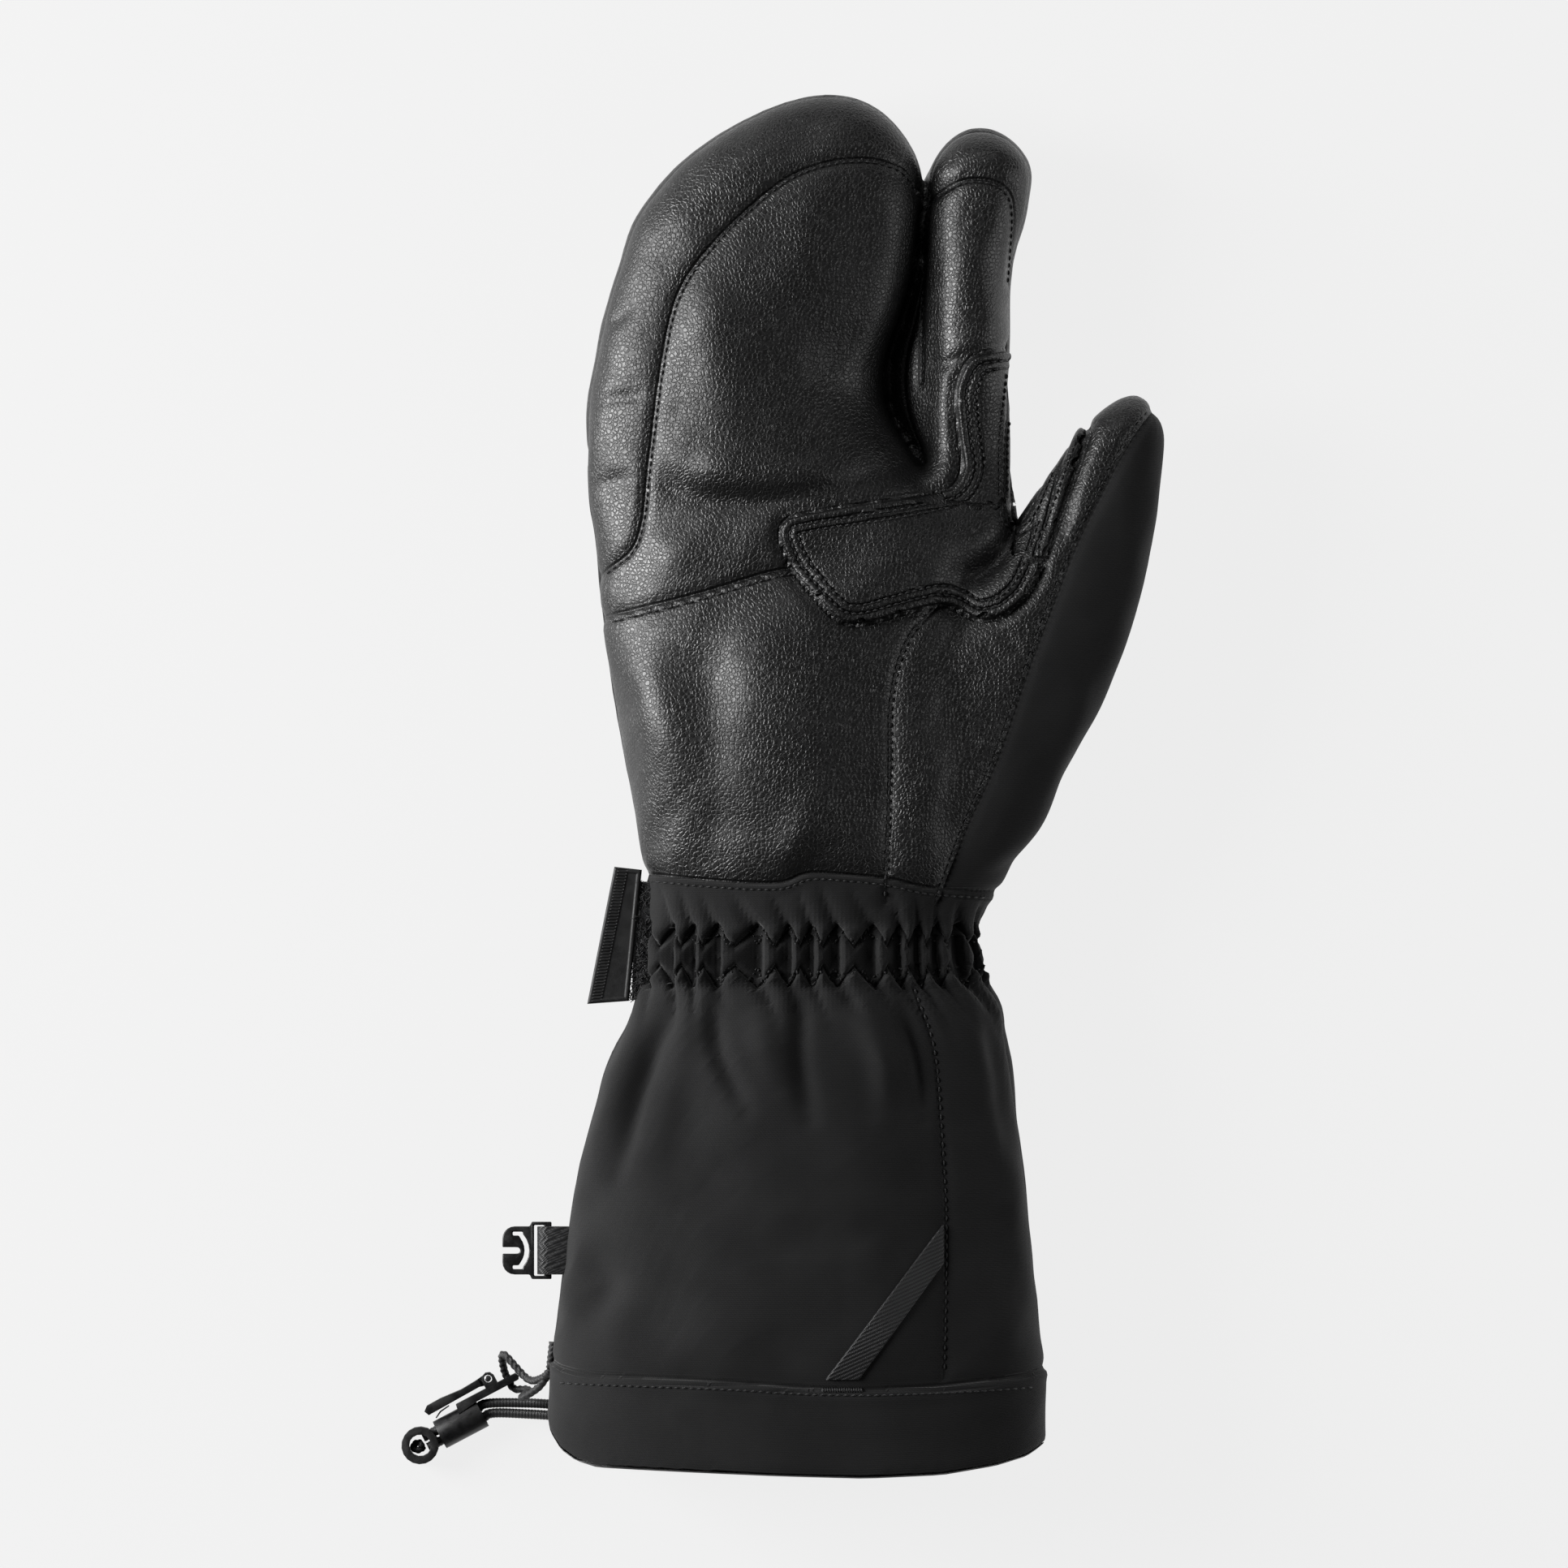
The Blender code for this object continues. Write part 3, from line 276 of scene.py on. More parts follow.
def smooth_points(points, step=1.5):
    """Evenly spaced points on the Catmull-Rom curve through a list's own points."""
    given = np.array(points, float)
    ends = np.vstack([2 * given[:1] - given[1:2], given, 2 * given[-1:] - given[-2:-1]])
    share = np.linspace(0, 1, 24, endpoint=False)[:, None]
    parts = []
    for a, b, c, d in zip(ends, ends[1:], ends[2:], ends[3:], strict=False):
        parts.append(0.5 * (2 * b + (c - a) * share + (2 * a - 5 * b + 4 * c - d) * share ** 2
                            + (3 * b - a - 3 * c + d) * share ** 3))
    fine = np.vstack(parts + [ends[-2:-1]])
    lengths = np.concatenate([[0], np.cumsum(np.linalg.norm(np.diff(fine, axis=0), axis=1))])
    wanted = np.linspace(0, lengths[-1], max(2, round(lengths[-1] / step)) + 1)
    return np.stack([np.interp(wanted, lengths, fine[:, k]) for k in range(fine.shape[1])], axis=1)


def rounded(outline, radius=1.6, step=1.0):
    """A closed outline with its corners rounded, as evenly spaced points."""
    corners = np.array(outline, float)
    points = []
    for before, here, after in zip(np.roll(corners, 1, 0), corners, np.roll(corners, -1, 0), strict=True):
        first, second = before - here, after - here
        reach = min(radius, np.linalg.norm(first) * 0.45, np.linalg.norm(second) * 0.45)
        start = here + first / np.linalg.norm(first) * reach
        end = here + second / np.linalg.norm(second) * reach
        for t in np.linspace(0, 1, 5):
            points.append((1 - t) ** 2 * start + 2 * t * (1 - t) * here + t ** 2 * end)
    loop = np.vstack(points + points[:1])
    lengths = np.concatenate([[0], np.cumsum(np.linalg.norm(np.diff(loop, axis=0), axis=1))])
    wanted = np.linspace(0, lengths[-1], round(lengths[-1] / step) + 1)
    return np.stack([np.interp(wanted, lengths, loop[:, k]) for k in range(2)], axis=1)[:-1]


def near(points, curve, reach=24.0):
    """Each point's distance to a polyline and the share of its length there, both seen along Z. Points
    farther than reach from the polyline's box are left at reach."""
    best = np.full(len(points), reach)
    share = np.zeros(len(points))
    low, high = curve[:, :2].min(axis=0) - reach, curve[:, :2].max(axis=0) + reach
    chosen = np.nonzero(((points[:, :2] > low) & (points[:, :2] < high)).all(axis=1))[0]
    spots = points[chosen, :2]
    gaps, shares = np.full(len(spots), reach), np.zeros(len(spots))
    for i, (a, b) in enumerate(zip(curve[:, :2], curve[1:, :2], strict=False)):
        along = b - a
        offset = spots - a
        t = np.clip(offset @ along / (along @ along), 0, 1)
        gap = np.hypot(offset[:, 0] - t * along[0], offset[:, 1] - t * along[1])
        closer = gap < gaps
        gaps[closer] = gap[closer]
        shares[closer] = (i + t[closer]) / (len(curve) - 1)
    best[chosen], share[chosen] = gaps, shares
    return best, share


def inside(points, loop):
    """Whether each point lies in a closed loop, seen along Z."""
    found = np.zeros(len(points), bool)
    x, y = points[:, 0], points[:, 1]
    for (x0, y0), (x1, y1) in zip(loop[:, :2], np.roll(loop[:, :2], -1, 0), strict=True):
        crosses = (y0 > y) != (y1 > y)
        if crosses.any():
            found ^= crosses & (x < (x1 - x0) * (y - y0) / (y1 - y0 + 1e-12) + x0)
    return found


def depth_in(points, loop):
    """Signed distance to a closed loop: positive inside it."""
    closed = np.vstack([loop, loop[:1]])
    gap, _ = near(points, closed)
    return np.where(inside(points, loop), gap, -gap)


def curve_height(curve, x):
    """y of a curve that runs along x."""
    return np.interp(x, curve[:, 0], curve[:, 1])


def smoothstep(low, high, values):
    t = np.clip((values - low) / (high - low), 0, 1)
    return t * t * (3 - 2 * t)


def to_row(points):
    """From the hand frame in millimetres to the row frame in metres."""
    return np.asarray(points, float) * MM + HAND_ORIGIN


def thumb_reach(points):
    """How far along the thumb a point lies, from its joint."""
    return (points - THUMB_JOINT) @ THUMB_ALONG


CURVES = {
    "diagonal": smooth_points(DIAGONAL_SEAM), "gusset": smooth_points(GUSSET_SEAM),
    "thumb": smooth_points(THUMB_SEAM), "mitt": smooth_points(MITT_SEAM), "index": smooth_points(INDEX_SEAM),
    "gauntlet": smooth_points(GAUNTLET_SEAM), "wrist": smooth_points(WRIST_SEAM),
    "hem": smooth_points(HEM_SEAM),
}
PATCH_LOOP = rounded(GRIP_PATCH, 3.6)
PATCH_ROWS = (2.4, 4.4)


# ---------------------------------------------------------------- the skin

def sides_at(trunk, heights):
    """left, right, back and palm at these heights, on a smooth curve through the stations."""
    table = np.array(trunk)
    y = table[:, 0]
    found = []
    for values in table[:, 1:].T:
        slope = np.gradient(values, y)
        i = np.clip(np.searchsorted(y, heights, side="right") - 1, 0, len(y) - 2)
        span = y[i + 1] - y[i]
        t = np.clip((heights - y[i]) / span, 0, 1)
        found.append((2 * t ** 3 - 3 * t ** 2 + 1) * values[i] + (t ** 3 - 2 * t ** 2 + t) * span * slope[i]
                     + (3 * t ** 2 - 2 * t ** 3) * values[i + 1] + (t ** 3 - t ** 2) * span * slope[i + 1])
    return np.array(found)


def limb_mesh(trunk, tip, depth=0.0, bulge=None):
    """Points and quads of one closed limb, depth under the surface, with a rounded end."""
    start, end = trunk[0][0], trunk[-1][0] - depth
    straight = np.arange(start, end - tip, RING_STEP)
    turn = np.linspace(0, math.pi / 2 - 0.06, 9)
    heights = np.concatenate([straight, end - tip + tip * np.sin(turn)])
    scale = np.concatenate([np.ones(len(straight)), np.cos(turn)])
    left, right, back, palm = sides_at(trunk, heights)
    angle = np.linspace(0, 2 * math.pi, RING_SIDES, endpoint=False)
    c, s = np.cos(angle), np.sin(angle)
    across = np.sign(c) * np.abs(c) ** (2 / SQUARENESS)
    upright = np.sign(s) * np.abs(s) ** (2 / SQUARENESS)
    half_x = np.maximum((right - left) / 2 - depth, 1) * scale
    half_z = np.maximum((palm - back) / 2 - depth, 1) * scale
    x = ((left + right) / 2)[:, None] + half_x[:, None] * across
    z = ((back + palm) / 2)[:, None] + half_z[:, None] * upright
    y = np.broadcast_to(heights[:, None], x.shape)
    points = np.stack([x, y, z], axis=2).reshape(-1, 3)
    if bulge is not None:
        points = bulge(points, depth)
    rings = len(heights)
    corner = np.arange(rings * RING_SIDES).reshape(rings, RING_SIDES)
    beside = np.roll(corner, -1, axis=1)
    quads = np.stack([corner[:-1], beside[:-1], beside[1:], corner[1:]], axis=2).reshape(-1, 4)
    caps = [corner[0][::-1].tolist(), corner[-1].tolist()]
    return points, quads.tolist() + caps


def wall_at(trunk, points, side):
    """x of a limb's left (-1) or right (+1) wall, at each point's height along and above the floor."""
    left, right, back, palm = sides_at(trunk, np.clip(points[:, 1], trunk[0][0], trunk[-1][0]))
    height = np.clip(np.abs(points[:, 2] - (back + palm) / 2) / ((palm - back) / 2), 0, 0.999)
    return (left + right) / 2 + side * (right - left) / 2 * (1 - height ** SQUARENESS) ** (1 / SQUARENESS)


def lean_at(points):
    """How far the index finger's inner wall moves to follow the mitt, so that the slit is closed below."""
    back = sides_at(INDEX_TRUNK, np.clip(points[:, 1], INDEX_TRUNK[0][0], INDEX_TRUNK[-1][0]))[2]
    low_side = smoothstep(33, 20, points[:, 2]) * smoothstep(back + 1, back + 6, points[:, 2])
    room = wall_at(INDEX_TRUNK, points, -1) - wall_at(MAIN_TRUNK, points, 1) - SLIT_GAP
    along_slit = smoothstep(118, 128, points[:, 1]) * smoothstep(211, 198, points[:, 1])
    return np.clip(room, 0, MOST_LEAN) * low_side * along_slit


def lean_under_mitt(points, depth):
    """The index finger's inner wall, which leans less the deeper its layer is."""
    lean = lean_at(points) * smoothstep(40, 31, points[:, 0]) * (1 - depth / 12)
    return points - lean[:, None] * np.array([1.0, 0.0, 0.0])


def outside(trunk, points):
    """How far each point lies outside a limb's straight walls."""
    left, right, back, palm = sides_at(trunk, np.clip(points[:, 1], trunk[0][0], trunk[-1][0]))
    across = np.abs(points[:, 0] - (left + right) / 2) / ((right - left) / 2)
    upright = np.abs(points[:, 2] - (back + palm) / 2) / ((palm - back) / 2)
    return ((across ** SQUARENESS + upright ** SQUARENESS) ** (1 / SQUARENESS) - 1) * (right - left) / 2


def index_side(points):
    """Positive where the index finger is the nearer limb, and negative where the mitt is."""
    lean = lean_at(points)
    upright = points + (lean * smoothstep(40, 31, points[:, 0] + lean))[:, None] * np.array([1.0, 0.0, 0.0])
    return outside(MAIN_TRUNK, points) - outside(INDEX_TRUNK, upright)


def object_from(name, points, faces):
    """A mesh object from points in the row frame, in metres."""
    mesh = bpy.data.meshes.new(name)
    mesh.from_pydata(np.asarray(points).tolist(), [], faces if isinstance(faces, list) else faces.tolist())
    mesh.update()
    found = bpy.data.objects.new(name, mesh)
    bpy.context.scene.collection.objects.link(found)
    return found


def arrays_of(obj):
    """Points and triangles of an object with its modifiers applied."""
    graph = bpy.context.evaluated_depsgraph_get()
    evaluated = obj.evaluated_get(graph)
    mesh = evaluated.to_mesh()
    mesh.calc_loop_triangles()
    points = np.empty(len(mesh.vertices) * 3)
    mesh.vertices.foreach_get("co", points)
    triangles = np.empty(len(mesh.loop_triangles) * 3, np.int32)
    mesh.loop_triangles.foreach_get("vertices", triangles)
    evaluated.to_mesh_clear()
    return points.reshape(-1, 3), triangles.reshape(-1, 3).astype(np.int64)


def remeshed(voxel, depth=0.0):
    """The three limbs as one closed skin of even triangles, in the hand frame."""
    points, faces = [], []
    for trunk, tip, bulge in ((MAIN_TRUNK, MAIN_TIP, None), (INDEX_TRUNK, INDEX_TIP, lean_under_mitt),
                              (THUMB_TRUNK, THUMB_TIP, None)):
        limb_points, limb_faces = limb_mesh(trunk, tip, depth, bulge)
        offset = sum(len(p) for p in points)
        points.append(limb_points)
        faces += [[i + offset for i in face] for face in limb_faces]
    whole = object_from("limbs", np.vstack(points) * MM, faces)
    change = whole.modifiers.new("remesh", "REMESH")
    change.mode = "VOXEL"
    change.voxel_size = voxel * MM
    bpy.context.view_layer.update()
    skin, triangles = arrays_of(whole)
    bpy.data.objects.remove(whole)
    return skin / MM, triangles


def neighbours_mean(points, triangles):
    """For each point, the mean of the points that it shares an edge with."""
    a = np.concatenate([triangles[:, 0], triangles[:, 1], triangles[:, 2]])
    b = np.concatenate([triangles[:, 1], triangles[:, 2], triangles[:, 0]])
    count = np.bincount(a, minlength=len(points)) + np.bincount(b, minlength=len(points))
    total = np.stack([np.bincount(a, points[b, k], len(points)) + np.bincount(b, points[a, k], len(points))
                      for k in range(points.shape[1])], axis=1)
    return total / np.maximum(count, 1)[:, None]


def relaxed(points, triangles, rounds, amount):
    """Points moved towards their neighbours' mean, amount being a number or one per point."""
    for _ in range(rounds):
        points = points + amount * (neighbours_mean(points, triangles) - points)
    return points


def smoothed_skin(points, triangles, rounds, voxel):
    """Takes the voxel steps out without shrinking, and softens where a finger grows out of the hand."""
    for _ in range(rounds):
        points = relaxed(points, triangles, 1, 0.5)
        points = relaxed(points, triangles, 1, -0.51)
    x, y, z = points.T
    index_root = np.exp(-((x - 41) / 11) ** 2 - ((y - 126) / 17) ** 2) * smoothstep(28, 40, z)
    index_back = np.exp(-((x - 40) / 14) ** 2 - ((y - 120) / 14) ** 2) * smoothstep(14, 6, z)
    thumb_root = np.exp(-((x - 50) / 14) ** 2 - ((y - 74) / 40) ** 2) * smoothstep(10, 26, np.abs(z - 27))
    soft = np.clip(1.4 * np.maximum.reduce([index_root, index_back, thumb_root]), 0, 1)[:, None]
    return relaxed(points, triangles, round(ROOT_SOFTNESS / voxel ** 2), 0.5 * soft)


def hem_shaped(points):
    """The mouth's curved edge: heights below the wrist stretch to reach it."""
    x, y, z = points.T
    straight, top = MAIN_TRUNK[0][0], -95.0
    edge = np.interp(x, *np.array(MOUTH).T)
    stretched = top + (y - top) * (edge - top) / (straight - top)
    return np.stack([x, np.where(y < top, stretched, y), z], axis=1)


def vertex_normals(points, triangles):
    a, b, c = (points[triangles[:, k]] for k in range(3))
    face = np.cross(b - a, c - a)
    total = np.zeros_like(points)
    for k in range(3):
        for axis in range(3):
            total[:, axis] += np.bincount(triangles[:, k], face[:, axis], len(points))
    return total / np.maximum(np.linalg.norm(total, axis=1), 1e-12)[:, None]


def hill(distance, width):
    """A smooth hill, one high where the distance is zero."""
    return np.exp(-(distance / width) ** 2)


def side_seam_z(points):
    """Height of the seam between palm side and back side."""
    return CUFF_SEAM_Z + (SIDE_SEAM_Z - CUFF_SEAM_Z) * smoothstep(10, 30, points[:, 1])


def seam_distance(points):
    """Distance to the nearest seam, in millimetres."""
    x, y, z = points.T
    palm = z > side_seam_z(points) + 1
    in_patch = depth_in(points, PATCH_LOOP) > 1.5
    gap = np.abs(z - side_seam_z(points)) + 30 * smoothstep(-20, -10, y) * smoothstep(22, 12, y)
    gap = np.minimum(gap, np.abs(y - curve_height(CURVES["wrist"], x)))
    gap = np.minimum(gap, np.abs(y - curve_height(CURVES["hem"], x)))
    for name in ("diagonal", "gusset", "thumb", "mitt", "index", "gauntlet"):
        found = near(points, CURVES[name])[0]
        shown = palm if name in ("mitt", "index", "thumb", "gauntlet") else palm & ~in_patch
        gap = np.where(shown, np.minimum(gap, found), gap)
    back_seam = np.abs(y - BACK_SEAM_Y) + 30 * (x > THUMB_CROTCH_X)
    return np.where(palm, gap, np.minimum(gap, back_seam))


def around_wrist(points):
    """Distance round the cuff, measured along its cross-section from the middle of the palm side."""
    _, left, right, back, palm = MAIN_TRUNK[6]
    half_x, half_z = (right - left) / 2, (palm - back) / 2
    angle = np.linspace(0, 2 * math.pi, 721)
    c, s = np.cos(angle), np.sin(angle)
    ring = np.stack([half_x * np.sign(c) * np.abs(c) ** (2 / SQUARENESS),
                     half_z * np.sign(s) * np.abs(s) ** (2 / SQUARENESS)], axis=1)
    length = np.concatenate([[0], np.cumsum(np.linalg.norm(np.diff(ring, axis=0), axis=1))])
    upright, across = points[:, 2] - (back + palm) / 2, points[:, 0] - (left + right) / 2
    turn = np.arctan2(upright / half_z, across / half_x)
    ring_turn = np.unwrap(np.arctan2(ring[:, 1] / half_z, ring[:, 0] / half_x))
    quarter = np.interp(math.pi / 2, ring_turn, length)
    return quarter - np.interp(np.mod(turn, 2 * math.pi), ring_turn, length)


def pleat_phase(distance):
    """Pleats are counted from the middle of the palm side, with an uneven pitch as a hand-fed seam has."""
    uneven = 0.22 * np.sin(distance * 0.21 + 0.6)
    return distance / PLEAT_PITCH + uneven + 0.0022 * np.maximum(distance, 0) ** 1.6


def zigzag_gap(points, row):
    """Distance to one zigzag row of the shirring, and its height at each point. The two rows are mirrored."""
    phase = pleat_phase(around_wrist(points))
    away = 2 * np.abs(phase - np.floor(phase + 0.5))
    height = row + math.copysign(ZIGZAG_REACH, row) * (1 - 2 * away)
    slope = 4 * ZIGZAG_REACH / PLEAT_PITCH
    return np.abs(points[:, 1] - height) / math.sqrt(1 + slope ** 2), height


def pleat_gap(points):
    """Distance to the nearest crease between two rolls of the shirring."""
    phase = pleat_phase(around_wrist(points))
    apart = np.abs(phase - np.floor(phase + 0.5)) * PLEAT_PITCH
    return apart * 0.8 + 4 * np.maximum(np.abs(points[:, 1]) - 5.5, 0)


def shirring_height(points):
    """How far the gathered cuff stands out: rolls between the rows, and folds that fan out beyond them."""
    y = points[:, 1]
    phase = pleat_phase(around_wrist(points))
    share = phase - np.floor(phase)
    roll = smoothstep(0.0, 0.13, share) * (1 - 0.95 * smoothstep(0.35, 1.0, share))
    between = 3.9 * (roll - 0.45) * smoothstep(8.8, 5.0, np.abs(y))
    beyond = np.abs(y) - 6
    fan_phase = phase + 0.055 * np.maximum(beyond, 0) * np.sign(y)
    fan_share = fan_phase - np.floor(fan_phase)
    fan = 0.5 - hill(np.minimum(fan_share, 1 - fan_share), 0.17)
    reach = 7.5 + 3.0 * np.sin(np.floor(fan_phase) * 2.4 + 0.4)
    fans = 2.5 * fan * smoothstep(-1.5, 1.5, beyond) * np.exp(-(np.maximum(beyond, 0) / reach) ** 1.5)
    grooves = sum(1.2 * hill(zigzag_gap(points, row)[0], 0.7) for row in ZIGZAG_ROWS)
    wrist = curve_height(CURVES["wrist"], points[:, 0])
    return (between + fans - grooves) * smoothstep(-36, -24, y) * smoothstep(wrist - 1, wrist - 6, y)


def fold_height(points):
    """The folds of FOLDS, each fading out towards its ends. They lie on the palm side."""
    total = np.zeros(len(points))
    palm = smoothstep(SIDE_SEAM_Z - 6, SIDE_SEAM_Z + 6, points[:, 2])
    for line, width, height in FOLDS:
        gap, share = near(points, smooth_points(line, 1.5))
        fade = np.sin(math.pi * np.clip(share, 0.04, 0.96)) ** 0.6
        total += height * hill(gap, width) * fade * palm
    return total


def simulated_puff(points, triangles):
    """How far each point of a coarse skin moves when it is cloth, pinned along its seams and filled."""
    seam = seam_distance(points)
    rows = np.minimum(*(zigzag_gap(points, row)[0] for row in ZIGZAG_ROWS))
    cuff = (points[:, 1] > -18) & (points[:, 1] < 20)
    mouth = points[:, 1] < -118
    slit = (np.abs(points[:, 0] - FINGER_SPLIT_X) < 9) & (points[:, 1] > 126)
    held = np.clip(1.25 - seam / 5.0, 0.0, 1)
    held = np.where((rows < 3) | cuff | mouth | slit, 1.0, held)
    cloth_object = object_from("cloth_skin", points * MM, triangles)
    group = cloth_object.vertex_groups.new(name="held")
    for level in np.unique(np.round(held, 1)):
        group.add(np.nonzero(np.round(held, 1) == level)[0].tolist(), float(level), "REPLACE")
    cloth = cloth_object.modifiers.new("cloth", "CLOTH")
    settings = cloth.settings
    settings.quality = 6
    settings.mass = 0.2
    settings.use_pressure = True
    settings.uniform_pressure_force = 2.2
    settings.vertex_group_mass = "held"
    settings.shrink_min = -0.02
    settings.tension_stiffness = 12
    settings.compression_stiffness = 12
    settings.bending_stiffness = 0.35
    settings.effector_weights.gravity = 0
    cloth.collision_settings.use_collision = False
    scene = bpy.context.scene
    for step in range(1, CLOTH_FRAMES + 1):
        scene.frame_set(step)
    moved, _ = arrays_of(cloth_object)
    scene.frame_set(1)
    bpy.data.objects.remove(cloth_object)
    change = moved / MM - points
    length = np.linalg.norm(change, axis=1)
    return change * (np.minimum(length, MOST_PUFF) / np.maximum(length, 1e-9))[:, None]


def carried(points, sources, changes):
    """The changes of a coarse mesh, spread over nearby points of a fine one."""
    tree = KDTree(len(sources))
    for i, spot in enumerate(sources):
        tree.insert(spot, i)
    tree.balance()
    total = np.zeros_like(points)
    for i, spot in enumerate(points):
        weight_sum = 0.0
        for _, j, gap in tree.find_n(spot, 4):
            weight = 1.0 / (gap + 0.6) ** 2
            total[i] += weight * changes[j]
            weight_sum += weight
        total[i] /= weight_sum
    return total


def make_skin():
    """The whole outer surface: rest is where each point was cut from, and skin is where it ends up."""
    rest, triangles = remeshed(REMESH_FINE)
    rest = smoothed_skin(rest, triangles, 8, REMESH_FINE)
    skin = rest.copy()
    coarse, coarse_triangles = remeshed(REMESH_COARSE)
    coarse = smoothed_skin(coarse, coarse_triangles, 2, REMESH_COARSE)
    puff = simulated_puff(coarse, coarse_triangles)
    skin = skin + relaxed(carried(rest, coarse, puff), triangles, 30, 0.5)
    seam = seam_distance(rest)
    normals = vertex_normals(rest, triangles)
    lift = 0.55 * (1 - np.exp(-seam / 5.0)) + 0.9 * (1 - hill(seam, 15.0))
    lift = lift - 0.7 * hill(seam, 1.3)
    patch_edge = depth_in(rest, PATCH_LOOP) + 1.0
    lift = lift - 1.1 * hill(patch_edge, 1.5) * (rest[:, 2] > SIDE_SEAM_Z)
    below_hem = curve_height(CURVES["hem"], rest[:, 0]) - rest[:, 1]
    lift = lift + 0.7 * hill(below_hem - 2.2, 1.6)
    cuff_edge = curve_height(CURVES["wrist"], rest[:, 0]) - rest[:, 1]
    lift = lift + 0.6 * hill(cuff_edge - 1.4, 1.1)
    lift = lift + shirring_height(rest) + fold_height(rest)
    skin = skin + normals * lift[:, None]
    skin = relaxed(skin, triangles, 1, 0.5)
    skin = hem_shaped(skin)
    skin[:, 2] = np.maximum(skin[:, 2], 0.15)
    return rest, skin, triangles


def cut_along(rest, skin, triangles, field):
    """Splits every triangle that lies on both sides of field = 0. Points near the line count as on it."""
    values = field(rest)
    values = np.where(np.abs(values) < 0.08, 0.0, values)
    side = np.sign(values)
    corners = side[triangles]
    mixed = (corners.max(axis=1) > 0) & (corners.min(axis=1) < 0)
    kept, split = triangles[~mixed], triangles[mixed]
    new_rest, new_skin, made, found = [rest], [skin], {}, []
    count = len(rest)
    extra_rest, extra_skin = [], []

    def middle(a, b):
        key = (a, b) if a < b else (b, a)
        if key not in made:
            share = values[a] / (values[a] - values[b])
            extra_rest.append(rest[a] + (rest[b] - rest[a]) * share)
            extra_skin.append(skin[a] + (skin[b] - skin[a]) * share)
            made[key] = count + len(extra_rest) - 1
        return made[key]

    for triangle in split.tolist():
        signs = [side[i] for i in triangle]
        if 0 in signs:
            k = signs.index(0)
            a, b, c = triangle[k], triangle[(k + 1) % 3], triangle[(k + 2) % 3]
            m = middle(b, c)
            found += [(a, b, m), (a, m, c)]
            continue
        lone = next(k for k in range(3) if signs[k] != signs[k - 1] and signs[k] != signs[(k + 1) % 3])
        a, b, c = triangle[lone], triangle[(lone + 1) % 3], triangle[(lone + 2) % 3]
        first, second = middle(a, b), middle(c, a)
        found += [(a, first, second), (first, b, c), (first, c, second)]
    if found:
        new_rest.append(np.array(extra_rest))
        new_skin.append(np.array(extra_skin))
        kept = np.vstack([kept, np.array(found)])
    return np.vstack(new_rest), np.vstack(new_skin), kept


def only_where(values, mask):
    """A cutting field that is left out where it doesn't apply."""
    return np.where(mask, values, 1e3)


def signed_side(points, curve):
    """Distance to an open curve, lengthened at both ends: negative to its right as it runs."""
    run = np.vstack([curve[:1] - (curve[1:2] - curve[:1]) * 40, curve[::2], curve[-1:],
                     curve[-1:] + (curve[-1:] - curve[-2:-1]) * 40])
    best, sign = np.full(len(points), 1e9), np.ones(len(points))
    for a, b in zip(run, run[1:], strict=False):
        along = b - a
        if not along.any():
            continue
        offset = points[:, :2] - a
        t = np.clip(offset @ along / (along @ along), 0, 1)
        gap = np.hypot(offset[:, 0] - t * along[0], offset[:, 1] - t * along[1])
        closer = gap < best - 1e-9
        best[closer] = gap[closer]
        sign[closer] = np.sign(along[0] * offset[closer, 1] - along[1] * offset[closer, 0])
    return best * sign


def loop_of(curve, *corners):
    return np.vstack([curve, np.array(corners, float)])


MITT_FRONT = loop_of(CURVES["mitt"], (40, 190), (40, 88))
INDEX_FRONT = loop_of(CURVES["index"], (52.6, 150), (60, 100), (28.3, 100))


